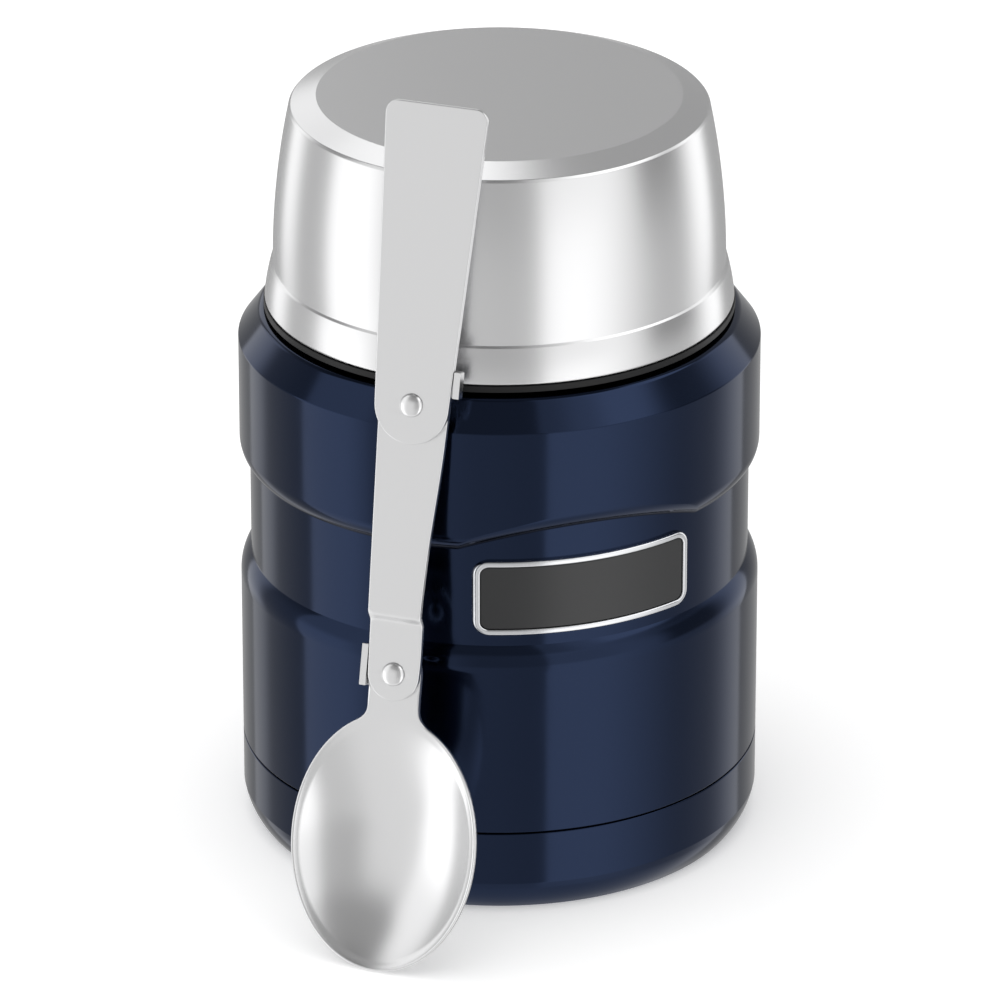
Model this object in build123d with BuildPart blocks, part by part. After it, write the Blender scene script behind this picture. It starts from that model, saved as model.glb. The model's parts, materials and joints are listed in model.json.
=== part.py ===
from build123d import *
import os
from math import asin, atan, atan2, cos, degrees, hypot, radians, sin, sqrt, tan

# Insulated food jar with a screw stopper, a screw-on serving cup and a folding spoon that leans on it.
# Millimetres. The jar stands on Z = 0 with its axis on Z; the front of the jar faces -Y.

os.makedirs("parts", exist_ok=True)

# ---- Clearances ----------------------------------------------------------------------------------
seat_gap = 0.3       # a piece that rests on another
press_gap = 0.05     # a piece pressed or glued into another
running_gap = 0.05   # a rivet in the hole that it turns in
plate_gap = 0.1      # between two spoon plates that slide over each other
cut_through = 1.0    # how far a cut runs past the face that it opens

# ---- Jar body ------------------------------------------------------------------------------------
body_radius = 47.5
shell_wall = 0.7
foot_height = 5.8
seam_z = 15.9            # joint between the shell and the base cup
seam_width = 0.3
skirt_clearance = 0.8    # between the base cup's foot and the shell's lower edge inside it
skirt_bottom_z = foot_height + skirt_clearance
groove_depth = 1.9
waist_radius = body_radius - groove_depth
waist_bottom_z = 52.5
waist_height = 18.7
waist_top_z = waist_bottom_z + waist_height
groove_round_bottom = 6.9
groove_round_top = 4.6
arch_azimuth = 20.5      # from the front towards +X
arch_half_angle = 29.8
arch_rise = 4.15
arch_run_out = 0.05      # how far the arch's round runs past the side, so that it crosses it
arch_tool_reach = 3.0    # the arch's cut runs this far out of the side,
arch_tool_drop = 1.0     # below the waist's upper edge,
arch_tool_depth = 9.0    # inside the waist,
arch_sweep_margin = 5.0  # and this many degrees past each end
upper_band_height = 23.3
shoulder_z = waist_top_z + upper_band_height   # where the shoulder's cone would meet the side
shoulder_rise = 5.3
shoulder_round = 0.5
shoulder_inner_round = 0.3   # of the same edge inside the shell
neck_inset = 9.5
neck_radius = body_radius - neck_inset
neck_height = 18.2
neck_root_round = 0.8
ledge_width = 5.5        # flat ledge round the neck
ledge_radius = neck_radius + ledge_width
ledge_z = shoulder_z + shoulder_rise
neck_top_z = ledge_z + neck_height

# ---- Base cup ------------------------------------------------------------------------------------
base_wall = 0.7
foot_inset = 2.6
foot_radius = body_radius - foot_inset
foot_bulge = 0.35        # how far the foot's curve stands out of a straight chamfer
foot_ring_width = 2.6
base_recess = 1.9
base_recess_run = 1.0    # how far the recess's wall leans in

# ---- Vacuum vessel -------------------------------------------------------------------------------
closing_plate_thickness = 0.7
closing_plate_setback = 0.2      # its underside above the shell's lower edge
closing_plate_rim_height = 1.1
seal_dimple_radius = 4.0
seal_bead_radius = 3.0
seal_bead_height = 0.8
getter_radius = 5.0
getter_height = 1.8
getter_offset = 20.0
getter_clearance = 1.3   # under the vessel's floor
closing_plate_under_z = skirt_bottom_z + closing_plate_setback
closing_plate_z = closing_plate_under_z + closing_plate_thickness
vacuum_gap = 2.5         # between the vessel and the shell's waist
neck_gap = 0.4           # between the vessel and the shell in the neck
vessel_wall = 0.6
vessel_radius = waist_radius - shell_wall - vacuum_gap
vessel_floor_z = closing_plate_z + getter_height + getter_clearance
vessel_floor_round = 9.0
vessel_shoulder_drop = 6.5       # below the shell's shoulder
vessel_shoulder_z = shoulder_z - vessel_shoulder_drop
vessel_shoulder_round = 7.0
vessel_neck_drop = 2.6           # below the shell's ledge
vessel_neck_z = ledge_z - vessel_neck_drop
vessel_neck_radius = neck_radius - shell_wall - neck_gap
mouth_radius = vessel_neck_radius - vessel_wall
lip_height = 0.6
lip_top_z = neck_top_z + lip_height
foil_gap = 0.1
foil_thickness = 0.15
foil_low_margin = 2.4    # above the vessel's lower round
foil_high_margin = 4.0   # below its shoulder
foil_bottom_z = vessel_floor_z + vessel_floor_round + foil_low_margin
foil_top_z = vessel_shoulder_z - foil_high_margin

# ---- Badge plate ---------------------------------------------------------------------------------
badge_width = 41.0
badge_height = 14.4
badge_corner = 2.6
badge_margin = 2.4       # above the waist's lower edge
badge_z = waist_bottom_z + badge_margin + badge_height / 2
badge_border = 1.1
badge_rim_height = 0.9
badge_face_height = 0.6

# ---- Serving cup ---------------------------------------------------------------------------------
ring_gap = 1.4           # between the neck and the thread ring, where the threads are
ring_thickness = 2.0
ring_sleeve = 0.8        # its wall inside the cup
ring_seat_gap = 0.35     # above the ledge
ring_visible_height = 4.25
ring_flange = 1.4        # stands out under the cup's mouth
ring_flange_rise = 0.55  # its lower edge above the ring's foot
ring_sleeve_height = 2.1
ring_sleeve_drop = 0.1   # its lower edge below the step of the cup
ring_bore_radius = neck_radius + ring_gap
ring_radius = ring_bore_radius + ring_thickness
ring_sleeve_radius = ring_bore_radius + ring_sleeve
cup_wall = 0.6
cup_lip_drop = 2.3       # of the cup's mouth above the ledge
cup_lip_roll = 0.3
cup_lip_height = 0.5
cup_step_drop = 6.3      # from the cup's mouth to its step
cup_step_height = 0.5
cup_step = 0.52
cup_ring_gap = 0.2       # between the cup and the ring's sleeve
cup_lip_radius = ring_radius + cup_wall + seat_gap
cup_flare_radius = cup_lip_radius + cup_lip_roll
cup_step_inner_radius = ring_sleeve_radius + cup_wall + cup_ring_gap
cup_step_outer_radius = cup_step_inner_radius + cup_step
cup_side_radius = 148.0  # of the side's bow
cup_side_height = 29.6
cup_taper = 3.05
cup_rim_height = 0.45
cup_rim_run = 0.4
cup_bevel_height = 1.75
cup_bevel_width = 4.55
cup_shoulder_radius = cup_step_inner_radius - cup_taper
cup_rim_radius = cup_shoulder_radius - cup_rim_run
cup_disc_radius = cup_rim_radius - cup_bevel_width
ring_bottom_z = ledge_z + ring_seat_gap
ring_visible_top_z = ring_bottom_z + ring_visible_height
ring_flange_radius = ring_radius + ring_flange
ring_flange_z = ring_bottom_z + ring_flange_rise
cup_bottom_z = ledge_z + cup_lip_drop
ring_flange_top_z = cup_bottom_z - seat_gap
cup_flare_z = cup_bottom_z + cup_lip_height
cup_step_outer_z = cup_bottom_z + cup_step_drop
cup_step_inner_z = cup_step_outer_z + cup_step_height
cup_shoulder_z = cup_step_inner_z + cup_side_height
cup_rim_z = cup_shoulder_z + cup_rim_height
cup_top_z = cup_rim_z + cup_bevel_height
ring_sleeve_z = cup_step_inner_z - ring_sleeve_drop
ring_top_z = ring_sleeve_z + ring_sleeve_height
liner_wall = 0.6
liner_flange = 1.1
liner_floor_round = 3.5
liner_side_gap = 0.5     # between the liner's floor and the cup's side
liner_top_gap = 0.15
liner_mouth_radius = ring_sleeve_radius - liner_flange
liner_floor_radius = cup_shoulder_radius - cup_wall - liner_wall - liner_side_gap
liner_top_z = cup_rim_z - cup_wall - liner_top_gap

# ---- Stopper -------------------------------------------------------------------------------------
plug_gap = 1.4           # between the plug and the mouth's bore, where the threads are
plug_radius = mouth_radius - plug_gap
plug_length = 20.0       # below the top of the neck
plug_bottom_z = neck_top_z - plug_length
plug_wall = 2.6
plug_floor = 2.0
gasket_groove_depth = 1.3
gasket_lip_height = 0.8
gasket_lip_z = plug_bottom_z + gasket_lip_height
gasket_height = 2.2
gasket_gap = 0.25        # to the mouth's bore
gasket_radius = mouth_radius - gasket_gap
gasket_rib_round = 0.9
flange_inset = 0.6
flange_radius = neck_radius - flange_inset
flange_thickness = 2.5
flange_z = lip_top_z + seat_gap
flange_top_z = flange_z + flange_thickness
foam_gap = 0.2
cap_inset = 0.3
cap_radius = plug_radius - cap_inset
cap_headroom = 2.6       # under the cup's liner
cap_top_z = liner_top_z - liner_wall - cap_headroom
cap_floor = 1.9
cap_edge_round = 1.5
grip_flutes = 24
grip_flute_radius = 2.2
grip_flute_depth = 0.8
grip_flute_rise = 2.1    # above the flange
grip_flute_bottom_z = flange_top_z + grip_flute_rise

# ---- Folding spoon -------------------------------------------------------------------------------
spoon_yaw = 21.3         # degrees, the spoon's face turned from the front towards -X
spoon_lean = 15.9        # degrees back from upright
spoon_roll = -0.7        # degrees in its own plane
spoon_offset = 4.18      # of the bowl's tip sideways from the plane through the jar's axis
plate = 1.2
bowl_half_width = 17.45
bowl_half_length = 23.4
bowl_depth = 7.0
bowl_rim = 0.85
neck_length = 7.5        # from the bowl's upper edge to the lower rivet
neck_half_width = 4.8
neck_flare = 2.2
lower_rivet_s = 2 * bowl_half_length + neck_length   # along the spoon, from the tip of the bowl
link_length = 48.7       # rivet to rivet
link_lower_radius = 4.85
link_upper_radius = 6.4
upper_rivet_s = lower_rivet_s + link_length
joggle_start = 8.9       # above the lower rivet
joggle_run = 2.2
joggle_step = 1.4
joggle_s = lower_rivet_s + joggle_start
handle_end_radius = 6.85
handle_length = 53.5     # from the upper rivet to the top edge
handle_top_half_width = 9.35
handle_corner = 2.4
handle_top_s = upper_rivet_s + handle_length
rivet_radius = 1.6
rivet_head_radius = 2.15
rivet_head_height = 0.95
tab_gap = 0.2
tab_thickness = 1.2
handle_tab_low = 2.1     # the handle's stop, from the upper rivet
handle_tab_high = 6.9
neck_tab_low = 2.8       # the link's stop, below and above the lower rivet
neck_tab_high = 4.8
recess_end_margin = 2.8  # the spoon's recess in the stopper, from the cap's edge
recess_side_gap = 1.35   # and round the bowl
spoon_recess_length = 2 * (cap_radius - recess_end_margin)
spoon_recess_width = 2 * (bowl_half_width + recess_side_gap)


def wedge(azimuth):
    """The upright plane through the jar's axis and the azimuth: its x is the radius, its y is up."""
    a = radians(azimuth)
    return Plane(origin=(0, 0, 0), x_dir=(sin(a), -cos(a), 0), z_dir=(-cos(a), -sin(a), 0))


# ---- Outer form of the body, drawn at an inward offset so that its wall follows every curve --------
round_rise_top = sqrt(groove_round_top**2 - (groove_round_top - groove_depth) ** 2)
round_rise_bottom = sqrt(groove_round_bottom**2 - (groove_round_bottom - groove_depth) ** 2)
skirt_radius = body_radius - base_wall - press_gap
shoulder_slope = shoulder_rise / (body_radius - ledge_radius)
shoulder_angle = atan(shoulder_slope)


def groove_corner(round_radius, rise_center, up, inset):
    """Where a groove's round meets the waist's wall, at an inward offset."""
    centre_r = body_radius - round_radius
    reach = waist_radius - inset - centre_r
    drop = sqrt((round_radius - inset) ** 2 - reach**2)
    return waist_radius - inset, rise_center + up * drop


def body_form(inset):
    """The turned body, solid, from the shell's lower edge to the top of the neck."""
    side = body_radius - inset
    low_centre_z = waist_bottom_z - round_rise_bottom
    high_centre_z = waist_top_z + round_rise_top
    low_corner = groove_corner(groove_round_bottom, low_centre_z, 1, inset)
    high_corner = groove_corner(groove_round_top, high_centre_z, -1, inset)
    neck = neck_radius - inset
    ledge = ledge_z - inset
    cone_drop = inset * (1 / cos(shoulder_angle) - 1)
    cone_side_z = shoulder_z - inset - cone_drop + shoulder_slope * inset
    cone_top_r = side - (ledge - cone_side_z) / shoulder_slope
    turn = radians(90) - shoulder_angle
    edge_round = max(shoulder_round - inset, shoulder_inner_round)
    tangent = edge_round * tan(turn / 2)
    with BuildPart() as form:
        with BuildSketch(Plane.XZ):
            with BuildLine():
                Polyline(
                    (0, neck_top_z), (0, skirt_bottom_z), (skirt_radius - inset, skirt_bottom_z),
                    (skirt_radius - inset, seam_z + seam_width / 2 + inset),
                    (side, seam_z + seam_width / 2 + inset), (side, low_centre_z),
                )
                RadiusArc((side, low_centre_z), low_corner, -(groove_round_bottom - inset))
                Line(low_corner, high_corner)
                RadiusArc(high_corner, (side, high_centre_z), -(groove_round_top - inset))
                Line((side, high_centre_z), (side, cone_side_z - tangent))
                cone_start = (side - tangent * cos(shoulder_angle), cone_side_z + tangent * sin(shoulder_angle))
                RadiusArc((side, cone_side_z - tangent), cone_start, -edge_round)
                Line(cone_start, (cone_top_r, ledge))
                neck_round = neck_root_round + inset
                Line((cone_top_r, ledge), (neck + neck_round, ledge))
                RadiusArc((neck + neck_round, ledge), (neck, ledge + neck_round), neck_round)
                Polyline((neck, ledge + neck_round), (neck, neck_top_z), (0, neck_top_z))
            make_face()
        revolve(axis=Axis.Z)
    return form.part


# The arch lies on a tilted circle through the groove's edge: its crown and its two ends.
arch_end_r = waist_radius * cos(radians(arch_half_angle))
arch_half_chord = waist_radius * sin(radians(arch_half_angle))
arch_tilt = atan2(arch_rise, waist_radius - arch_end_r)
arch_sagitta = hypot(arch_rise, waist_radius - arch_end_r)
arch_radius = (arch_half_chord**2 + arch_sagitta**2) / (2 * arch_sagitta)
arch_sweep = 2 * (degrees(asin(arch_half_chord / arch_radius)) + arch_sweep_margin)


def arch_tool(inset):
    """What the arch over the badge takes out of the body, at an inward offset."""
    plane = wedge(arch_azimuth)
    crown_z = waist_top_z + arch_rise
    centre = (waist_radius - arch_radius * cos(arch_tilt), crown_z - arch_radius * sin(arch_tilt))
    tilted = Axis(
        origin=plane.from_local_coords((centre[0], centre[1], 0)),
        direction=plane.from_local_coords((-sin(arch_tilt), cos(arch_tilt), 0)) - plane.origin,
    )
    round_z = waist_top_z + round_rise_top + arch_rise
    corner = groove_corner(groove_round_top, round_z, -1, inset)
    edge_r = body_radius - inset + arch_run_out
    end = (edge_r, round_z)
    far = body_radius + arch_tool_reach
    low = waist_top_z - arch_tool_drop
    inner = waist_radius - arch_tool_depth
    with BuildPart() as tool:
        with BuildSketch(plane):
            with BuildLine():
                RadiusArc(corner, end, -(groove_round_top - inset + arch_run_out))
                Polyline(end, (far, round_z), (far, low), (inner, low), (inner, corner[1]), corner)
            make_face()
        revolve(axis=tilted, revolution_arc=arch_sweep)
    turned = tool.part.rotate(tilted, -arch_sweep / 2)
    with BuildPart() as trimmed:
        add(turned)
        with BuildSketch(Plane.XY):
            Circle(waist_radius - inset)
        extrude(amount=2 * neck_top_z, both=True, mode=Mode.SUBTRACT)
    return trimmed.part


# ---- Jar -----------------------------------------------------------------------------------------
outer_body = body_form(0)
inner_body = body_form(shell_wall)
outer_arch = arch_tool(0)
inner_arch = arch_tool(shell_wall)

with BuildPart() as inner_space:
    add(inner_body)
    add(inner_arch, mode=Mode.SUBTRACT)
    with BuildSketch(Plane.XY.offset(skirt_bottom_z)):
        Circle(skirt_radius - shell_wall)
    extrude(amount=cut_through, both=True)
    with BuildSketch(Plane.XY.offset(neck_top_z)):
        Circle(neck_radius - shell_wall)
    extrude(amount=cut_through, both=True)

with BuildPart() as outer_shell:
    add(outer_body)
    add(outer_arch, mode=Mode.SUBTRACT)
    add(inner_space.part, mode=Mode.SUBTRACT)
outer_shell.part.label = "outer_shell"
export_step(outer_shell.part, "parts/outer_shell.step")

with BuildPart() as base_cup:
    with BuildSketch(Plane.XZ):
        foot_mid = ((body_radius + foot_radius) / 2 + foot_bulge, foot_height / 2)
        inner_foot_r = foot_radius - base_wall
        ring_r = foot_radius - foot_ring_width
        with BuildLine():
            Line((body_radius, seam_z - seam_width / 2), (body_radius, foot_height))
            ThreePointArc((body_radius, foot_height), foot_mid, (foot_radius, 0))
            Polyline(
                (foot_radius, 0), (ring_r, 0), (ring_r - base_recess_run, base_recess), (0, base_recess),
                (0, base_recess + base_wall), (ring_r - base_recess_run + base_wall, base_recess + base_wall),
                (ring_r + base_wall, base_wall), (inner_foot_r, base_wall),
            )
            ThreePointArc(
                (inner_foot_r, base_wall),
                (foot_mid[0] - base_wall, foot_mid[1] + base_wall / 2),
                (body_radius - base_wall, foot_height),
            )
            Polyline(
                (body_radius - base_wall, foot_height),
                (body_radius - base_wall, seam_z - seam_width / 2),
                (body_radius, seam_z - seam_width / 2),
            )
        make_face()
    revolve(axis=Axis.Z)
base_cup.part.label = "base_cup"
export_step(base_cup.part, "parts/base_cup.step")


def vessel_outline(inset):
    """The inner vessel's outline from the middle of its floor to the top of its neck."""
    floor_z = vessel_floor_z + inset
    side = vessel_radius - inset
    neck = vessel_neck_radius - inset
    return FilletPolyline(
        (0, floor_z), (side, floor_z), (side, vessel_shoulder_z), (neck, vessel_neck_z), (neck, neck_top_z),
        radius=[vessel_floor_round - inset, vessel_shoulder_round - inset, vessel_shoulder_round + inset],
    )


with BuildPart() as inner_vessel:
    with BuildSketch(Plane.XZ):
        with BuildLine():
            vessel_outline(0)
            Polyline(
                (vessel_neck_radius, neck_top_z), (neck_radius, neck_top_z),
                (neck_radius, lip_top_z), (0, lip_top_z), (0, vessel_floor_z),
            )
        make_face()
        with BuildLine():
            vessel_outline(vessel_wall)
            Polyline(
                (mouth_radius, neck_top_z), (mouth_radius, lip_top_z), (0, lip_top_z),
                (0, vessel_floor_z + vessel_wall),
            )
        make_face(mode=Mode.SUBTRACT)
    revolve(axis=Axis.Z)
inner_vessel.part.label = "inner_vessel"
export_step(inner_vessel.part, "parts/inner_vessel.step")

with BuildPart() as radiation_foil:
    with BuildSketch(Plane.XY.offset(foil_bottom_z)):
        Circle(vessel_radius + foil_gap + foil_thickness)
        Circle(vessel_radius + foil_gap, mode=Mode.SUBTRACT)
    extrude(amount=foil_top_z - foil_bottom_z)
radiation_foil.part.label = "radiation_foil"
export_step(radiation_foil.part, "parts/radiation_foil.step")

closing_plate_radius = skirt_radius - shell_wall - press_gap
with BuildPart() as closing_plate:
    with BuildSketch(Plane.XY.offset(closing_plate_under_z)):
        Circle(closing_plate_radius)
    extrude(amount=closing_plate_thickness)
    with BuildSketch(Plane.XY.offset(skirt_bottom_z)):
        Circle(closing_plate_radius)
        Circle(closing_plate_radius - closing_plate_thickness, mode=Mode.SUBTRACT)
    extrude(amount=closing_plate_rim_height)
    with BuildSketch(Plane.XY.offset(closing_plate_z)):
        Circle(seal_dimple_radius + closing_plate_thickness)
    extrude(amount=seal_bead_height)
    with BuildSketch(Plane.XY.offset(closing_plate_under_z)):
        Circle(seal_dimple_radius)
    extrude(amount=seal_bead_height, mode=Mode.SUBTRACT)
closing_plate.part.label = "closing_plate"
export_step(closing_plate.part, "parts/closing_plate.step")

with BuildPart() as vacuum_seal_bead:
    with BuildSketch(Plane.XY.offset(closing_plate_under_z)):
        Circle(seal_bead_radius)
    extrude(amount=seal_bead_height)
    fillet(vacuum_seal_bead.edges().sort_by(Axis.Z)[0], radius=seal_bead_height / 2)
vacuum_seal_bead.part.label = "vacuum_seal_bead"
export_step(vacuum_seal_bead.part, "parts/vacuum_seal_bead.step")

with BuildPart() as getter_capsule:
    with BuildSketch(Plane.XY.offset(closing_plate_z)):
        with Locations((getter_offset, 0)):
            Circle(getter_radius)
    extrude(amount=getter_height)
getter_capsule.part.label = "getter_capsule"
export_step(getter_capsule.part, "parts/getter_capsule.step")

# ---- Badge: a border frame bent round the waist, with a plain plate inside it ----------------------
badge_axis = wedge(arch_azimuth)
badge_plane = Plane(
    origin=badge_axis.from_local_coords((0, badge_z, 0)),
    x_dir=-badge_axis.z_dir,
    z_dir=badge_axis.x_dir,
)
badge_seat = waist_radius + press_gap

with BuildPart() as badge_rim:
    with BuildSketch(badge_plane):
        RectangleRounded(badge_width, badge_height, badge_corner)
        RectangleRounded(
            badge_width - 2 * badge_border, badge_height - 2 * badge_border, badge_corner - badge_border,
            mode=Mode.SUBTRACT,
        )
    extrude(amount=body_radius)
    with BuildSketch(Plane.XY):
        Circle(badge_seat + badge_rim_height)
    extrude(amount=2 * badge_z, mode=Mode.INTERSECT)
    with BuildSketch(Plane.XY):
        Circle(badge_seat)
    extrude(amount=2 * badge_z, mode=Mode.SUBTRACT)
badge_rim.part.label = "badge_rim"
export_step(badge_rim.part, "parts/badge_rim.step")

with BuildPart() as badge_face:
    with BuildSketch(badge_plane):
        inset = badge_border + press_gap
        RectangleRounded(badge_width - 2 * inset, badge_height - 2 * inset, badge_corner - inset)
    extrude(amount=body_radius)
    with BuildSketch(Plane.XY):
        Circle(badge_seat + badge_face_height)
    extrude(amount=2 * badge_z, mode=Mode.INTERSECT)
    with BuildSketch(Plane.XY):
        Circle(badge_seat)
    extrude(amount=2 * badge_z, mode=Mode.SUBTRACT)
badge_face.part.label = "badge_face"
export_step(badge_face.part, "parts/badge_face.step")

# ---- Stopper -------------------------------------------------------------------------------------
gasket_top_z = gasket_lip_z + gasket_height
groove_radius = plug_radius - gasket_groove_depth
plug_bore = plug_radius - plug_wall

with BuildPart() as stopper_body:
    with BuildSketch(Plane.XZ):
        with BuildLine():
            Polyline(
                (0, plug_bottom_z), (plug_radius, plug_bottom_z), (plug_radius, gasket_lip_z),
                (groove_radius, gasket_lip_z), (groove_radius, gasket_top_z), (plug_radius, gasket_top_z),
                (plug_radius, flange_z), (flange_radius, flange_z), (flange_radius, flange_top_z),
                (plug_bore, flange_top_z), (plug_bore, plug_bottom_z + plug_floor),
                (0, plug_bottom_z + plug_floor), (0, plug_bottom_z),
            )
        make_face()
    revolve(axis=Axis.Z)
stopper_body.part.label = "stopper_body"
export_step(stopper_body.part, "parts/stopper_body.step")

with BuildPart() as stopper_gasket:
    with BuildSketch(Plane.XZ):
        with BuildLine():
            bore = groove_radius + press_gap
            low_z = gasket_lip_z + press_gap
            high_z = gasket_top_z - press_gap
            FilletPolyline(
                (bore, low_z), (gasket_radius, low_z), (gasket_radius, high_z), (bore, high_z),
                radius=gasket_rib_round,
            )
            Line((bore, high_z), (bore, low_z))
        make_face()
    revolve(axis=Axis.Z)
stopper_gasket.part.label = "stopper_gasket"
export_step(stopper_gasket.part, "parts/stopper_gasket.step")

with BuildPart() as stopper_insulation:
    with BuildSketch(Plane.XY.offset(plug_bottom_z + plug_floor + press_gap)):
        Circle(plug_bore - foam_gap)
    extrude(amount=flange_top_z - foam_gap - plug_bottom_z - plug_floor - press_gap)
stopper_insulation.part.label = "stopper_insulation"
export_step(stopper_insulation.part, "parts/stopper_insulation.step")

with BuildPart() as stopper_cap:
    with BuildSketch(Plane.XY.offset(flange_top_z)):
        Circle(cap_radius)
    extrude(amount=cap_top_z - flange_top_z)
    fillet(stopper_cap.edges().sort_by(Axis.Z)[-1], radius=cap_edge_round)
    with BuildSketch(Plane.XY.offset(flange_top_z + cap_floor)):
        SlotOverall(spoon_recess_length, spoon_recess_width)
    extrude(amount=cap_top_z, mode=Mode.SUBTRACT)
    with BuildSketch(Plane.XY.offset(grip_flute_bottom_z)):
        with PolarLocations(cap_radius + grip_flute_radius - grip_flute_depth, grip_flutes):
            Circle(grip_flute_radius)
    extrude(amount=cap_top_z, mode=Mode.SUBTRACT)
stopper_cap.part.label = "stopper_cap"
export_step(stopper_cap.part, "parts/stopper_cap.step")

# ---- Serving cup ---------------------------------------------------------------------------------


def cup_side(inset, upper_z):
    """The cup's bowed side and stepped flare, from its top edge down to its mouth."""
    RadiusArc(
        (cup_shoulder_radius - inset, upper_z),
        (cup_step_inner_radius - inset, cup_step_inner_z),
        cup_side_radius - inset,
    )
    return Polyline(
        (cup_step_inner_radius - inset, cup_step_inner_z),
        (cup_step_outer_radius - inset, cup_step_outer_z),
        (cup_flare_radius - inset, cup_flare_z),
    )


with BuildPart() as cup_shell:
    with BuildSketch(Plane.XZ):
        with BuildLine():
            Polyline(
                (0, cup_top_z), (cup_disc_radius, cup_top_z), (cup_rim_radius, cup_rim_z),
                (cup_shoulder_radius, cup_shoulder_z),
            )
            cup_side(0, cup_shoulder_z)
            Polyline(
                (cup_flare_radius, cup_flare_z), (cup_lip_radius, cup_bottom_z),
                (cup_lip_radius - cup_wall, cup_bottom_z), (cup_flare_radius - cup_wall, cup_flare_z),
            )
            cup_side(cup_wall, cup_rim_z - cup_wall)
            Polyline(
                (cup_shoulder_radius - cup_wall, cup_rim_z - cup_wall),
                (cup_disc_radius - cup_wall / 2, cup_top_z - cup_wall), (0, cup_top_z - cup_wall), (0, cup_top_z),
            )
        make_face()
    revolve(axis=Axis.Z)
cup_shell.part.label = "cup_shell"
export_step(cup_shell.part, "parts/cup_shell.step")

with BuildPart() as cup_thread_ring:
    with BuildSketch(Plane.XZ):
        with BuildLine():
            Polyline(
                (ring_radius, ring_bottom_z), (ring_flange_radius, ring_flange_z),
                (ring_flange_radius, ring_flange_top_z), (ring_radius, ring_flange_top_z),
                (ring_radius, ring_visible_top_z),
                (ring_sleeve_radius, ring_sleeve_z), (ring_sleeve_radius, ring_top_z),
                (ring_bore_radius, ring_top_z), (ring_bore_radius, ring_bottom_z),
                (ring_radius, ring_bottom_z),
            )
        make_face()
    revolve(axis=Axis.Z)
cup_thread_ring.part.label = "cup_thread_ring"
export_step(cup_thread_ring.part, "parts/cup_thread_ring.step")

with BuildPart() as cup_liner:
    with BuildSketch(Plane.XZ):
        with BuildLine():
            FilletPolyline(
                (ring_sleeve_radius, ring_top_z), (ring_sleeve_radius, ring_top_z + liner_wall),
                (liner_mouth_radius + liner_wall, ring_top_z + liner_wall),
                (liner_floor_radius + liner_wall, liner_top_z), (0, liner_top_z),
                radius=[0, 0, liner_floor_round],
            )
            Line((0, liner_top_z), (0, liner_top_z - liner_wall))
            FilletPolyline(
                (0, liner_top_z - liner_wall), (liner_floor_radius, liner_top_z - liner_wall),
                (liner_mouth_radius, ring_top_z), (ring_sleeve_radius, ring_top_z),
                radius=[liner_floor_round - liner_wall, 0],
            )
        make_face()
    revolve(axis=Axis.Z)
cup_liner.part.label = "cup_liner"
export_step(cup_liner.part, "parts/cup_liner.step")

# ---- Folding spoon -------------------------------------------------------------------------------
# In the spoon's own frame x is across it, y runs from the tip of the bowl to the handle, and z is its face.
yaw, lean, roll = radians(spoon_yaw), radians(spoon_lean), radians(spoon_roll)
level = Vector(cos(yaw), -sin(yaw), 0)
rising = Vector(sin(yaw) * sin(lean), cos(yaw) * sin(lean), cos(lean))
face_normal = Vector(-sin(yaw) * cos(lean), -cos(yaw) * cos(lean), sin(lean))
link_low_back = plate_gap
link_low_front = link_low_back + plate
link_high_back = link_low_back + joggle_step
link_high_front = link_high_back + plate
handle_back = link_high_front + plate_gap
handle_front = handle_back + plate
handle_taper = (handle_top_half_width - handle_end_radius) / handle_length
tip_z = plate * sin(lean)
# The handle's back leans on the cup's upper edge, which sets how far out the bowl's tip stands.
tip_reach = cup_shoulder_radius + (cup_shoulder_z - tip_z) * tan(lean) + (seat_gap - handle_back) / cos(lean)
spoon_plane = Plane(
    origin=(
        spoon_offset * cos(yaw) - tip_reach * sin(yaw),
        -spoon_offset * sin(yaw) - tip_reach * cos(yaw),
        tip_z,
    ),
    x_dir=level * cos(roll) - rising * sin(roll),
    z_dir=face_normal,
)
spoon_side = Plane(origin=spoon_plane.origin, x_dir=spoon_plane.z_dir, z_dir=-spoon_plane.x_dir)


def bowl_cap(half_width, half_length, depth):
    """A dished cap with an oval rim, hanging below the rim's plane, placed at the bowl's middle."""
    with BuildPart() as cap:
        with BuildSketch(Plane.XZ):
            with BuildLine():
                dish_radius = (half_width**2 + depth**2) / (2 * depth)
                RadiusArc((0, -depth), (half_width, 0), -dish_radius)
                Polyline((half_width, 0), (0, 0), (0, -depth))
            make_face()
        revolve(axis=Axis.Z)
    oval = scale(cap.part, by=(1, half_length / half_width, 1))
    return spoon_plane.location * Pos(0, bowl_half_length, 0) * oval


bowl_outside = bowl_cap(bowl_half_width, bowl_half_length, bowl_depth)
bowl_inside = bowl_cap(bowl_half_width - bowl_rim, bowl_half_length - bowl_rim, bowl_depth - bowl_rim)
neck_tab_x = -link_lower_radius - tab_gap - tab_thickness / 2

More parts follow.
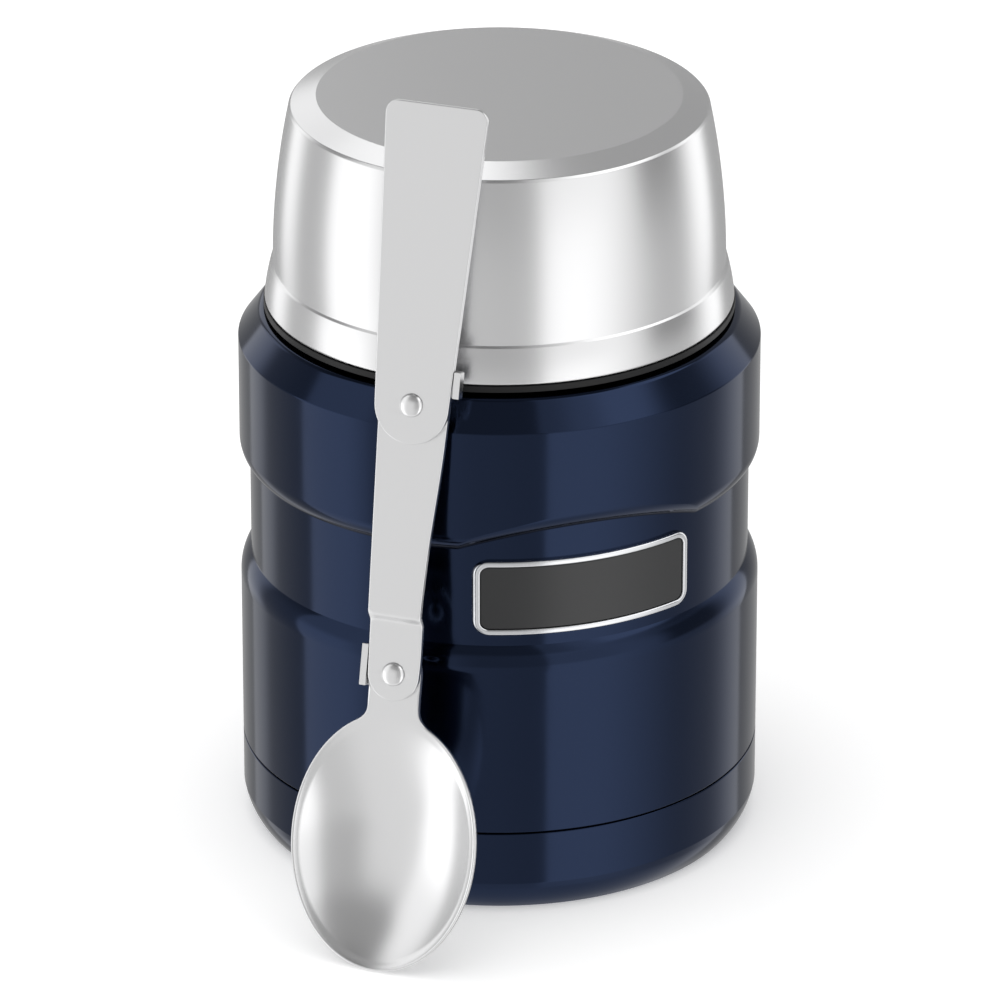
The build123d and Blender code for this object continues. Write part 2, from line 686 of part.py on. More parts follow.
with BuildPart() as spoon_bowl:
    with BuildSketch(spoon_plane.offset(-plate)) as bowl_outline:
        with Locations((0, bowl_half_length)):
            Ellipse(bowl_half_width, bowl_half_length)
        with Locations((0, (bowl_half_length + lower_rivet_s) / 2)):
            Rectangle(2 * neck_half_width, lower_rivet_s - bowl_half_length)
        with Locations((0, lower_rivet_s)):
            Circle(neck_half_width)
        neck_roots = bowl_outline.vertices().filter_by_position(
            Axis.Y, bowl_half_length + neck_half_width, lower_rivet_s - neck_flare
        )
        fillet(neck_roots, radius=neck_flare)
    extrude(amount=plate)
    add(bowl_outside)
    add(bowl_inside, mode=Mode.SUBTRACT)
    with BuildSketch(spoon_plane.offset(-plate)):
        with Locations((neck_tab_x, lower_rivet_s + (neck_tab_high - neck_tab_low) / 2)):
            Rectangle(tab_thickness, neck_tab_high + neck_tab_low)
    extrude(amount=plate + link_low_front)
    with BuildSketch(spoon_plane.offset(-plate)):
        with Locations((neck_tab_x / 2, lower_rivet_s + (neck_tab_high - neck_tab_low) / 2)):
            Rectangle(-neck_tab_x, neck_tab_high + neck_tab_low)
    extrude(amount=plate)
    with BuildSketch(spoon_plane.offset(-plate - cut_through)):
        with Locations((0, lower_rivet_s)):
            Circle(rivet_radius + running_gap)
    extrude(amount=plate + 2 * cut_through, mode=Mode.SUBTRACT)
spoon_bowl.part.label = "spoon_bowl"
export_step(spoon_bowl.part, "parts/spoon_bowl.step")

link_tab_x = handle_end_radius + handle_taper * handle_tab_high + tab_gap + tab_thickness / 2
link_tab_s = upper_rivet_s + (handle_tab_low + handle_tab_high) / 2

with BuildPart() as spoon_link:
    with BuildSketch(spoon_side):
        with BuildLine():
            low, high = lower_rivet_s - 2 * link_lower_radius, upper_rivet_s + 2 * link_upper_radius
            Polyline(
                (link_low_back, low), (link_low_back, joggle_s), (link_high_back, joggle_s + joggle_run),
                (link_high_back, high), (link_high_front, high), (link_high_front, joggle_s + joggle_run),
                (link_low_front, joggle_s), (link_low_front, low), (link_low_back, low),
            )
        make_face()
    extrude(amount=link_tab_x, both=True)
    with BuildSketch(spoon_plane):
        with Locations((0, lower_rivet_s)):
            Circle(link_lower_radius)
        with Locations((0, upper_rivet_s)):
            Circle(link_upper_radius)
        make_hull()
        with Locations((link_tab_x / 2, link_tab_s)):
            Rectangle(link_tab_x, handle_tab_high - handle_tab_low)
    extrude(amount=link_high_front, mode=Mode.INTERSECT)
    with BuildSketch(spoon_plane.offset(link_high_back)):
        with Locations((link_tab_x, link_tab_s)):
            Rectangle(tab_thickness, handle_tab_high - handle_tab_low)
    extrude(amount=handle_front - link_high_back)
    with BuildSketch(spoon_plane):
        with Locations((0, lower_rivet_s), (0, upper_rivet_s)):
            Circle(rivet_radius + running_gap)
    extrude(amount=handle_front, mode=Mode.SUBTRACT)
spoon_link.part.label = "spoon_link"
export_step(spoon_link.part, "parts/spoon_link.step")

with BuildPart() as spoon_handle:
    with BuildSketch(spoon_plane.offset(handle_back)):
        with Locations((0, upper_rivet_s)):
            Circle(handle_end_radius)
        corner_x = handle_top_half_width - handle_corner
        with Locations((-corner_x, handle_top_s - handle_corner), (corner_x, handle_top_s - handle_corner)):
            Circle(handle_corner)
        make_hull()
        with Locations((0, upper_rivet_s)):
            Circle(rivet_radius + running_gap, mode=Mode.SUBTRACT)
    extrude(amount=plate)
spoon_handle.part.label = "spoon_handle"
export_step(spoon_handle.part, "parts/spoon_handle.step")


def rivet(s, back, front):
    """A domed rivet across the plates between back and front, at s along the spoon."""
    dome = (rivet_head_radius**2 + rivet_head_height**2) / (2 * rivet_head_height)
    centre = spoon_plane.from_local_coords((0, s, 0))
    axis_plane = Plane(origin=centre, x_dir=spoon_plane.x_dir, z_dir=-spoon_plane.y_dir)
    low, high = back - running_gap, front + running_gap
    with BuildPart() as pin:
        with BuildSketch(axis_plane):
            with BuildLine():
                RadiusArc((0, low - rivet_head_height), (rivet_head_radius, low), -dome)
                Polyline(
                    (rivet_head_radius, low), (rivet_radius, low), (rivet_radius, high), (rivet_head_radius, high),
                )
                RadiusArc((rivet_head_radius, high), (0, high + rivet_head_height), -dome)
                Line((0, high + rivet_head_height), (0, low - rivet_head_height))
            make_face()
        revolve(axis=Axis(origin=centre, direction=spoon_plane.z_dir))
    return pin.part


with BuildPart() as lower_rivet:
    add(rivet(lower_rivet_s, -plate, link_low_front))
lower_rivet.part.label = "lower_rivet"
export_step(lower_rivet.part, "parts/lower_rivet.step")

with BuildPart() as upper_rivet:
    add(rivet(upper_rivet_s, link_high_back, handle_front))
upper_rivet.part.label = "upper_rivet"
export_step(upper_rivet.part, "parts/upper_rivet.step")
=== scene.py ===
"""Insulated food jar with a screw stopper, a screw-on serving cup and a folding spoon.

Every length is in metres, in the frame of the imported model: the jar's axis is Z, it stands on Z = 0
and its front faces -Y. Directions round the axis turn from the front to the right.
"""

import json
from functools import cache
from math import asin, cos, pi, radians, sin, sqrt, tan

import bmesh
import bpy
import numpy as np
from bpy.props import FloatProperty, FloatVectorProperty, IntProperty, PointerProperty
from mathutils import Matrix, Vector


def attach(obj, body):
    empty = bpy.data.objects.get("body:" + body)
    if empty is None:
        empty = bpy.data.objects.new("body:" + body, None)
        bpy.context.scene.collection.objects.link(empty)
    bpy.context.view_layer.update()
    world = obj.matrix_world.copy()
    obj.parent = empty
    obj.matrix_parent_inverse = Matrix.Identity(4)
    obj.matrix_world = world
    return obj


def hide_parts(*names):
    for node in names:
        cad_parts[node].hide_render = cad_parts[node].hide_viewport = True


bl_info = {
    "name": "Food Jar Maker",
    "version": (1, 0, 0),
    "blender": (4, 5, 0),
    "location": "View3D > Sidebar > Food Jar",
    "description": "Builds an insulated food jar with its stopper, serving cup and folding spoon",
    "category": "Add Mesh",
}

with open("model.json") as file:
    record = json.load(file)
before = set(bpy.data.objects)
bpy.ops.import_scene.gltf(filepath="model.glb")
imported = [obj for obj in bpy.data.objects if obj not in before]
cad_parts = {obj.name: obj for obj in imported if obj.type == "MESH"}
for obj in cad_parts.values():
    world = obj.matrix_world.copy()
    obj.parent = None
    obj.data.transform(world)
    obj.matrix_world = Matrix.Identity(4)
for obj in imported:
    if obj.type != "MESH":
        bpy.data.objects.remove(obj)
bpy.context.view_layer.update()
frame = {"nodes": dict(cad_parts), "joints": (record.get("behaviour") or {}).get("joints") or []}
MM = 0.001
FIT = 0.05 * MM  # gap between pieces that are pressed, glued or turn in each other


# ---- Sizes and colours ---------------------------------------------------------------------------
def properties(kind, rows, **settings):
    """Properties of one kind from rows of a name, its default and a description."""
    return {
        name: kind(
            name=name.replace("_", " ").capitalize(), description=text, default=value, **settings
        )
        for name, (value, text) in rows.items()
    }


def lengths(**rows):
    """Length properties, given in millimetres and kept in metres."""
    metres = {name: (value * MM, text) for name, (value, text) in rows.items()}
    return properties(FloatProperty, metres, unit="LENGTH", precision=5)


def angles(**rows):
    """Angle properties, given in degrees."""
    turns = {name: (radians(value), text) for name, (value, text) in rows.items()}
    return properties(FloatProperty, turns, subtype="ANGLE")


def colours(**rows):
    """Colour properties in linear values."""
    return properties(FloatVectorProperty, rows, subtype="COLOR", min=0, max=1, size=3)


class JarSizes(bpy.types.PropertyGroup):
    """Sizes of the jar's body, base cup, vessel and badge."""

    __annotations__ = lengths(
        body_radius=(47.5, "Radius of the lacquered side"),
        wall=(0.7, "Thickness of the outer shell"),
        skirt_low=(6.6, "Height of the shell's lower edge, inside the base cup"),
        skirt_radius=(46.75, "Radius of the shell inside the base cup"),
        seam_height=(15.9, "Height of the seam over the base cup"),
        seam_width=(0.3, "Width of the seam"),
        waist_radius=(45.6, "Radius of the waist"),
        waist_low=(52.5, "Height of the waist's lower edge"),
        waist_high=(71.2, "Height of the waist's upper edge"),
        round_low=(6.9, "Round between the side and the waist's lower edge"),
        round_high=(4.6, "Round between the side and the waist's upper edge"),
        arch_rise=(4.15, "How far the waist's upper edge rises over the badge"),
        shoulder_height=(94.5, "Where the cone of the shoulder meets the side"),
        shoulder_round=(0.5, "Round between the side and the shoulder"),
        ledge_radius=(43.5, "Outer radius of the flat ledge round the neck"),
        ledge_height=(99.8, "Height of the ledge"),
        neck_radius=(38.0, "Outer radius of the neck"),
        neck_top=(118.0, "Height of the neck's upper edge"),
        neck_round=(0.8, "Round where the neck rises from the ledge"),
        foot_radius=(44.9, "Radius of the edge that the jar stands on"),
        foot_height=(5.8, "Height of the foot's slope"),
        foot_ring=(2.6, "Width of the ring that the jar stands on"),
        foot_recess=(1.9, "Depth of the hollow under the foot"),
        badge_height=(62.1, "Height of the badge's middle"),
        badge_wide=(41.0, "Width of the badge"),
        badge_tall=(14.4, "Height of the badge"),
        badge_corner=(2.6, "Corner radius of the badge"),
        badge_border=(1.1, "Width of the badge's frame"),
        badge_frame_rise=(0.9, "How far the badge's frame stands out"),
        badge_plate_rise=(0.6, "How far the badge's plate stands out"),
    ) | angles(
        arch_turn=(20.5, "Where the arch stands, from the front to the right"),
        arch_half=(29.8, "Half of the arch's span"),
    )


class VesselSizes(bpy.types.PropertyGroup):
    """Sizes of the inner vessel."""

    __annotations__ = lengths(
        radius=(42.4, "Outer radius of the vessel"),
        wall=(0.6, "Thickness of the vessel"),
        floor_height=(10.6, "Height of the vessel's underside"),
        floor_round=(9.0, "Round between the vessel's floor and side"),
        shoulder_height=(88.0, "Height where the vessel narrows"),
        shoulder_round=(7.0, "Round at the vessel's shoulder and neck"),
        neck_radius=(36.9, "Outer radius of the vessel's neck"),
        neck_height=(97.2, "Height where the vessel's neck starts"),
        lip=(0.6, "Height of the rolled lip on the neck"),
    )


class StopperSizes(bpy.types.PropertyGroup):
    """Sizes of the screw stopper."""

    __annotations__ = lengths(
        plug_radius=(34.9, "Radius of the plug in the neck"),
        plug_low=(98.0, "Height of the plug's underside"),
        plug_wall=(2.6, "Thickness of the plug's side"),
        plug_floor=(2.0, "Thickness of the plug's floor"),
        groove_depth=(1.3, "Depth of the seal's groove"),
        seal_low=(98.8, "Height of the seal's lower face"),
        seal_height=(2.2, "Height of the seal's groove"),
        seal_radius=(36.05, "Outer radius of the seal"),
        flange_radius=(37.4, "Radius of the flange that rests on the lip"),
        flange_low=(118.9, "Height of the flange's underside"),
        flange_thick=(2.5, "Thickness of the flange"),
        knob_radius=(34.6, "Radius of the knob over the flange"),
        knob_top=(135.0, "Height of the knob's upper face"),
        knob_floor=(1.9, "Thickness under the spoon's recess"),
        recess_long=(63.6, "Length of the spoon's recess"),
        recess_wide=(37.6, "Width of the spoon's recess"),
        flute_depth=(0.8, "Depth of a grip flute"),
        flute_low=(123.5, "Height where the grip flutes start"),
    )
    flutes: IntProperty(
        name="Flutes", description="Number of grip flutes round the knob", default=24, min=3
    )


class CupSizes(bpy.types.PropertyGroup):
    """Sizes of the serving cup, which is screwed on upside down."""

    __annotations__ = lengths(
        wall=(0.6, "Thickness of the cup's shell"),
        lip_radius=(42.5, "Radius of the cup's mouth edge"),
        lip_height=(101.88, "Height of the cup's mouth edge"),
        flare_radius=(42.6, "Widest radius of the cup"),
        flare_height=(102.3, "Height of the widest radius"),
        step_low_radius=(41.45, "Radius under the step"),
        step_low_height=(108.45, "Height of the step's lower edge"),
        step_high_radius=(41.05, "Radius over the step"),
        step_high_height=(108.82, "Height of the step's upper edge"),
        side_bow=(148.0, "Radius of the bow of the cup's side"),
        band_bow=(40, "Radius of the mouth band's bow outwards"),
        shoulder_radius=(37.95, "Radius at the top of the side"),
        shoulder_height=(138.5, "Height of the top of the side"),
        rim_radius=(37.55, "Radius of the bevel's outer edge"),
        rim_height=(138.95, "Height of the bevel's outer edge"),
        disc_radius=(33.0, "Radius of the flat disc"),
        disc_height=(140.7, "Height of the flat disc"),
        ring_low=(100.15, "Height of the collar's lower edge"),
        ring_radius=(41.4, "Radius of the collar's foot, and of its part inside the cup"),
        flange_radius=(42.8, "Radius of the flange under the cup's mouth"),
        flange_low=(100.56, "Height of the flange's lower edge"),
        flange_high=(101.73, "Height of the flange's upper edge"),
        ring_edge=(104.4, "Height where the collar enters the cup"),
        ring_waist_radius=(40.2, "Radius of the collar inside the cup"),
        ring_waist=(108.8, "Height where the collar's sleeve starts"),
        ring_top=(110.9, "Height of the collar's upper edge"),
        ring_bore=(39.4, "Inner radius of the collar"),
        lining_wall=(0.6, "Thickness of the cup's lining"),
        lining_mouth=(39.1, "Inner radius of the lining at its mouth"),
        lining_floor=(36.25, "Inner radius of the lining at its floor"),
        lining_round=(3.5, "Round between the lining's side and floor"),
        lining_top=(138.2, "Height of the lining's closed end"),
    )


class SpoonSizes(bpy.types.PropertyGroup):
    """Sizes of the folding spoon, measured along it from the tip of the bowl."""

    __annotations__ = lengths(
        plate=(1.2, "Thickness of the spoon's plates"),
        edge=(0.22, "Round along the plates' edges"),
        bowl_half_width=(17.55, "Half of the bowl's width"),
        bowl_half_length=(23.4, "Half of the bowl's length"),
        bowl_depth=(7.0, "Depth of the bowl's outside"),
        bowl_rim=(0.62, "Width of the flat rim"),
        bowl_shift=(0.33, "How far the bowl sits to the right of the neck"),
        neck_half_width=(4.8, "Half of the neck's width"),
        neck_flare=(2.2, "Round where the neck meets the bowl"),
        lower_rivet=(54.3, "Where the lower rivet is"),
        upper_rivet=(103.0, "Where the upper rivet is"),
        link_low_radius=(4.85, "End radius of the link at the lower rivet"),
        link_high_radius=(6.65, "End radius of the link at the upper rivet"),
        link_hollow=(0.7, "How far the link's right edge is drawn in over the joggle"),
        joggle=(63.2, "Where the link's joggle starts"),
        joggle_run=(2.2, "Length of the joggle"),
        joggle_step=(1.4, "How far the joggle lifts the link"),
        handle_end_radius=(7.0, "End radius of the handle at the upper rivet"),
        handle_top=(156.5, "Where the handle ends"),
        handle_half_width=(9.6, "Half of the handle's width at its top"),
        handle_corner=(2.4, "Corner radius of the handle's top"),
        rivet_radius=(1.6, "Radius of the rivets' pins"),
        rivet_head=(2.15, "Radius of the rivets' heads"),
        rivet_rise=(0.95, "Height of the rivets' heads"),
        plate_gap=(0.1, "Gap between two plates"),
        tab=(1.2, "Thickness of the stop tabs"),
        tab_gap=(0.2, "Gap between a plate and its stop tab"),
        handle_tab_low=(2.1, "From the upper rivet to the tab's lower edge"),
        handle_tab_high=(6.9, "From the upper rivet to the tab's upper edge"),
        neck_tab_low=(2.8, "From the lower rivet down to the tab's lower edge"),
        neck_tab_high=(4.8, "From the lower rivet up to the tab's upper edge"),
    )


class Finishes(bpy.types.PropertyGroup):
    """Colours of the finishes."""

    __annotations__ = colours(
        lacquer=((0.0175, 0.0262, 0.054), "Deep blue lacquer of the body"),
        cup_steel=((0.70, 0.70, 0.705), "Satin steel of the serving cup"),
        spoon_steel=((0.76, 0.76, 0.765), "Satin steel of the spoon"),
        vessel_steel=((0.66, 0.66, 0.67), "Steel of the vessel and the linings"),
        collar=((0.010, 0.010, 0.0105), "Black plastic of the collar and the stopper"),
        badge_plate=((0.021, 0.0215, 0.0225), "Charcoal plate of the badge"),
        badge_frame=((0.74, 0.75, 0.77), "Bright frame of the badge"),
        seal=((0.42, 0.43, 0.44), "Soft grey seal"),
        foam=((0.80, 0.78, 0.70), "Light foam of the stopper"),
        foil=((0.80, 0.74, 0.62), "Thin foil round the vessel"),
        bead=((0.10, 0.11, 0.12), "Sealing bead under the jar"),
    )


class Studio(bpy.types.PropertyGroup):
    """The floor, the light and the camera."""

    __annotations__ = lengths(
        distance=(1492.9, "From the camera to its target"),
        target=(60.6, "Height of the camera's target on the jar's axis"),
    ) | angles(
        tilt=(24.223, "How far the camera looks down"),
    ) | colours(
        floor=((0.93, 0.93, 0.93), "Pale floor"),
    )
    lens: FloatProperty(
        name="Lens", description="Focal length in millimetres", default=292.94, min=1
    )
    floor_lift: FloatProperty(
        name="Floor lift", description="What the camera sees over the lit floor, to reach white",
        default=0.3, min=0
    )
    sky: FloatProperty(name="Sky", description="Strength of the even light", default=0.72, min=0)
    sun: FloatProperty(
        name="Sun", description="Strength of the soft top light", default=0.85, min=0
    )


# ---- Meshes --------------------------------------------------------------------------------------
WELD = 1e-7             # points closer than this become one
POLE = 1e-9             # a row of points narrower than this is one point
STRAIGHT = 0.4995 * pi  # half the angle from which a corner is taken for a straight line
SIDE_SHARE = 0.49       # the most of a side that one corner's round takes
PLATE_CREASE = 40       # degrees from which an edge of a plate or a cut piece stays sharp
LEAD = 0.008            # rise of the screw threads over one turn


def ease(t):
    """A smooth rise from 0 to 1 while t goes from 0 to 1."""
    t = np.clip(t, 0, 1)
    return t * t * (3 - 2 * t)


def swing(centre, start, sweep, steps):
    """Points of the arc from start, seen from its centre, over an angle."""
    a = np.linspace(0, sweep, steps + 1)
    x, y = start
    return centre + np.stack([x * np.cos(a) - y * np.sin(a), x * np.sin(a) + y * np.cos(a)], axis=1)


def fillet(corners, steps=8):
    """A line through (x, y, radius) corners, with each corner rounded by its radius."""
    line = []
    for i, (x, y, radius) in enumerate(corners):
        corner = np.array((x, y), float)
        if radius <= 0 or i in (0, len(corners) - 1):
            line.append(corner)
            continue
        back = np.array(corners[i - 1][:2], float) - corner
        ahead = np.array(corners[i + 1][:2], float) - corner
        back_length, ahead_length = np.linalg.norm(back), np.linalg.norm(ahead)
        back, ahead = back / back_length, ahead / ahead_length
        half = np.arccos(np.clip(back @ ahead, -1, 1)) / 2
        if half > STRAIGHT:
            line.append(corner)
            continue
        reach = min(radius / tan(half), SIDE_SHARE * back_length, SIDE_SHARE * ahead_length)
        middle = (back + ahead) / np.linalg.norm(back + ahead)
        centre = corner + middle * reach / cos(half)
        start, end = corner + back * reach - centre, corner + ahead * reach - centre
        sweep = np.arctan2(start[0] * end[1] - start[1] * end[0], start @ end)
        line.extend(swing(centre, start, sweep, steps))
    return np.array(line)


def bow(start, end, radius, steps):
    """Points of an arc from start to end; a positive radius bows to the left of the way."""
    start, end = np.array(start, float), np.array(end, float)
    way = end - start
    reach = np.linalg.norm(way)
    side = np.array((-way[1], way[0])) / reach
    depth = sqrt(radius * radius - reach * reach / 4)
    centre = (start + end) / 2 - side * depth * np.sign(radius)
    return swing(centre, start - centre, -2 * asin(reach / 2 / radius), steps)


def sharp(line):
    """Corners without rounds from the points of a line."""
    return [(x, y, 0) for x, y in line]


def baked(piece):
    """The mesh that a piece's modifiers make of it."""
    bpy.context.view_layer.update()
    depsgraph = bpy.context.evaluated_depsgraph_get()
    return bpy.data.meshes.new_from_object(piece.evaluated_get(depsgraph))


def finish_mesh(name, mesh, crease):
    """Welds the mesh, turns its faces outwards, shades it and puts it in an object. An edge over
    crease degrees stays sharp."""
    work = bmesh.new()
    work.from_mesh(mesh)
    bmesh.ops.remove_doubles(work, verts=work.verts, dist=WELD)
    bmesh.ops.dissolve_degenerate(work, edges=work.edges, dist=WELD / 10)
    bmesh.ops.recalc_face_normals(work, faces=work.faces)
    if work.calc_volume(signed=True) < 0:
        bmesh.ops.reverse_faces(work, faces=work.faces)
    work.to_mesh(mesh)
    work.free()
    mesh.shade_smooth()
    mesh.set_sharp_from_angle(angle=radians(crease))
    piece = bpy.data.objects.new(name, mesh)
    bpy.context.scene.collection.objects.link(piece)
    # The large faces set the shading, so that flat faces stay flat beside small rounds.
    weigh = piece.modifiers.new("weigh", "WEIGHTED_NORMAL")
    weigh.keep_sharp = True
    piece.data = baked(piece)
    piece.modifiers.clear()
    piece.data.name = name
    return piece


def skin(name, rows, loop=False, crease=35):
    """A closed piece through rows of points that each run round it. loop joins the last row to the
    first. A row whose points all fall together becomes one point."""
    across = len(rows[0])
    points, places, faces = [], [], []
    for row in rows:
        row = np.asarray(row, float)
        pole = np.ptp(row, axis=0).max() < POLE
        first = len(points)
        places.append([first] * across if pole else list(range(first, first + across)))
        points.extend(row[:1] if pole else row)
    for here, there in zip(places, places[1:] + places[:1] * loop):
        for k in range(across):
            m = (k + 1) % across
            face = tuple(dict.fromkeys((here[k], here[m], there[m], there[k])))
            if len(face) > 2:
                faces.append(face)
    if not loop:
        faces.extend(tuple(end) for end in (places[0], places[-1]) if end[0] != end[-1])
    mesh = bpy.data.meshes.new(name)
    mesh.from_pydata([tuple(p) for p in points], [], faces)
    return finish_mesh(name, mesh, crease)


def around(segments):
    """The directions of a full turn."""
    return np.linspace(0, 2 * pi, segments, endpoint=False)


def ring(radius, way, height):
    """Points at a radius from the jar's axis, in the directions of way, at a height."""
    return np.stack(
        np.broadcast_arrays(radius * np.sin(way), -radius * np.cos(way), height), axis=-1
    )


def turned(line, segments=288):
    """Rows of points from a (radius, height) line, turned about the jar's axis."""
    return [ring(r, around(segments), z) for r, z in line]


def lathe(name, corners, steps, loop=False, crease=35):
    """A turned piece from (radius, height, round) corners. loop closes the section on itself."""
    if loop:
        # The section starts in the middle of its last side, so each of its corners is rounded.
        (r0, z0, _), (r1, z1, _) = corners[0], corners[-1]
        middle = ((r0 + r1) / 2, (z0 + z1) / 2, 0)
        corners = [middle, *corners, middle]
    line = fillet(corners, steps)
    return skin(name, turned(line[:-1] if loop else line), loop, crease)


def thread(name, root, height, low, high, foot, land):
    """A right-hand screw ridge of a height over the root's radius, between two levels. foot and
    land are its widths at the root and at the crest."""
    turns = (high - low) / LEAD
    count = int(96 * turns)
    sink = 0.15 * MM * np.sign(height)  # how deep the ridge is rooted
    run_out = 0.09  # of a turn, over which the ridge rises at either end
    brim, lean = 0.2 * height, 0.06 * MM
    rows = []
    for t in np.arange(count + 1) / count:
        fade = ease(min(t, 1 - t) * turns / run_out)
        top = root + height * fade - (1 - fade) * sink / 2
        section = np.array([
            (root - sink, -foot / 2), (top - brim, -land / 2 - lean), (top, -land / 4),
            (top, land / 4), (top - brim, land / 2 + lean), (root - sink, foot / 2),
        ])
        rows.append(ring(section[:, 0], 2 * pi * turns * t, low + (high - low) * t + section[:, 1]))
    return skin(name, rows, crease=50)


def arc(centre, radius, start, end, steps):
    """Points of an arc about a centre between two angles in degrees."""
    return [
        (centre[0] + radius * cos(radians(a)), centre[1] + radius * sin(radians(a)))
        for a in np.linspace(start, end, steps + 1)
    ]


def hull(circles, steps=96):
    """The outline round circles of (x, y, radius), as a rubber band would lie."""
    cloud = np.array([
        (x + r * cos(a), y + r * sin(a)) for x, y, r in circles for a in around(steps)
    ])
    order = cloud[np.lexsort((cloud[:, 1], cloud[:, 0]))]

    def half(points):
        """One side of the outline, without the points inside it."""
        chain = []
        for p in points:
            while len(chain) > 1:
                a, b = chain[-2], chain[-1]
                if (b[0] - a[0]) * (p[1] - a[1]) - (b[1] - a[1]) * (p[0] - a[0]) > 1e-12:
                    break
                chain.pop()
            chain.append(p)
        return chain[:-1]

    return [tuple(p) for p in half(order) + half(order[::-1])]


def plate(name, outline, holes, thickness, edge, cuts=(), bend=None, matrix=None):
    """A flat plate from an outline and holes, with rounded edges, its back on Z = 0. cuts are
    heights along Y where edges are added before bend, a function of Y that lifts the plate."""
    # The curve is drawn in millimetres, in which its rounds come out exact.
    curve = bpy.data.curves.new(name + "_outline", "CURVE")
    curve.dimensions = "2D"
    curve.fill_mode = "BOTH"
    curve.extrude = (thickness - 2 * edge) / 2 / MM
    curve.bevel_depth = edge / MM
    curve.offset = -edge / MM
    curve.bevel_resolution = 2
    for loop in (outline, *holes):
        spline = curve.splines.new("POLY")
        spline.points.add(len(loop) - 1)
        for point, (x, y) in zip(spline.points, loop):
            point.co = (x / MM, y / MM, 0, 1)
        spline.use_cyclic_u = True
    holder = bpy.data.objects.new(name + "_outline", curve)
    bpy.context.scene.collection.objects.link(holder)
    mesh = baked(holder)
    bpy.data.objects.remove(holder)
    bpy.data.curves.remove(curve)
    mesh.transform(Matrix.Translation((0, 0, thickness / 2 / MM)))
    work = bmesh.new()
    work.from_mesh(mesh)
    bmesh.ops.remove_doubles(work, verts=work.verts, dist=WELD / MM)
    for y in cuts:
        bmesh.ops.bisect_plane(
            work, geom=work.verts[:] + work.edges[:] + work.faces[:],
            plane_co=(0, y / MM, 0), plane_no=(0, 1, 0),
        )
    if bend:
        for v in work.verts:
            v.co.z += bend(v.co.y * MM) / MM
    work.to_mesh(mesh)
    work.free()
    mesh.transform(Matrix.Scale(MM, 4))
    if matrix is not None:
        mesh.transform(matrix)
    mesh.name = name
    return finish_mesh(name, mesh, PLATE_CREASE)


def combine(base, other, operation):
    """The UNION of two closed pieces, or the DIFFERENCE of the second from the first."""
    name = base.name
    modifier = base.modifiers.new("combine", "BOOLEAN")
    modifier.operation, modifier.solver, modifier.object = operation, "EXACT", other
    mesh = baked(base)
    bpy.data.objects.remove(base)
    bpy.data.objects.remove(other)
    return finish_mesh(name, mesh, PLATE_CREASE)


# ---- Finishes ------------------------------------------------------------------------------------
FLOAT, VECTOR = "NodeSocketFloat", "NodeSocketVector"
FAINT = 3e-8  # depth of a polish that is only just felt


def node(tree, kind, **values):
    """A node with its settings and, by name or as i and a number, its input values or links."""
    made = tree.nodes.new(kind)
    for key, value in values.items():
        if hasattr(made, key):
            setattr(made, key, value)
            continue
        target = made.inputs[int(key[1:]) if key[0] == "i" and key[1:].isdigit() else key]
        if isinstance(value, bpy.types.NodeSocket):
            tree.links.new(value, target)
        else:
            target.default_value = value
    return made


def math(tree, operation, first, second=0.0):
    """The output of a Math node."""
    return node(tree, "ShaderNodeMath", operation=operation, i0=first, i1=second).outputs[0]


def new_group(name, inputs, outputs):
    """An empty shader group with its sockets, and its input and output nodes."""
    tree = bpy.data.node_groups.new(name, "ShaderNodeTree")
    for label, kind, value in inputs:
        made = tree.interface.new_socket(name=label, in_out="INPUT", socket_type=kind)
        made.default_value = value
    for label in outputs:
        tree.interface.new_socket(name=label, in_out="OUTPUT", socket_type=FLOAT)
    return tree, tree.nodes.new("NodeGroupInput"), tree.nodes.new("NodeGroupOutput")


def fine_grain(tree, given, place):
    """Fine grain of a moulded, cast or sprayed surface."""
    return place, math(tree, "DIVIDE", 1.0, given["Size"])


def turned_lines(tree, given, place):
    """Fine lines round the Z axis, as polishing on a lathe leaves them."""
    x, y, z = node(tree, "ShaderNodeSeparateXYZ", Vector=place).outputs
    angle = math(tree, "ARCTAN2", x, y)
    square = math(tree, "ADD", math(tree, "MULTIPLY", x, x), math(tree, "MULTIPLY", y, y))
    along = math(tree, "ADD", math(tree, "SQRT", square), z)
    where = node(
        tree, "ShaderNodeCombineXYZ",
        X=math(tree, "MULTIPLY", math(tree, "SINE", angle), given["Run"]),
        Y=math(tree, "MULTIPLY", along, math(tree, "DIVIDE", 1.0, given["Spacing"])),
        Z=math(tree, "MULTIPLY", math(tree, "COSINE", angle), given["Run"]),
    )
    return where.outputs[0], 1.0


def straight_lines(tree, given, place):
    """Fine lines along a direction, as belt polishing leaves them."""
    def reach(direction, spacing):
        """How far the point lies in a direction, in spacings."""
        far = node(tree, "ShaderNodeVectorMath", operation="DOT_PRODUCT", i0=place, i1=direction)
        return math(tree, "DIVIDE", far.outputs["Value"], given[spacing])

    out = node(
        tree, "ShaderNodeVectorMath", operation="CROSS_PRODUCT",
        i0=given["Across"], i1=given["Along"],
    )
    where = node(
        tree, "ShaderNodeCombineXYZ", X=reach(given["Across"], "Spacing"),
        Y=reach(given["Along"], "Run"), Z=reach(out.outputs[0], "Spacing"),
    )
    return where.outputs[0], 1.0


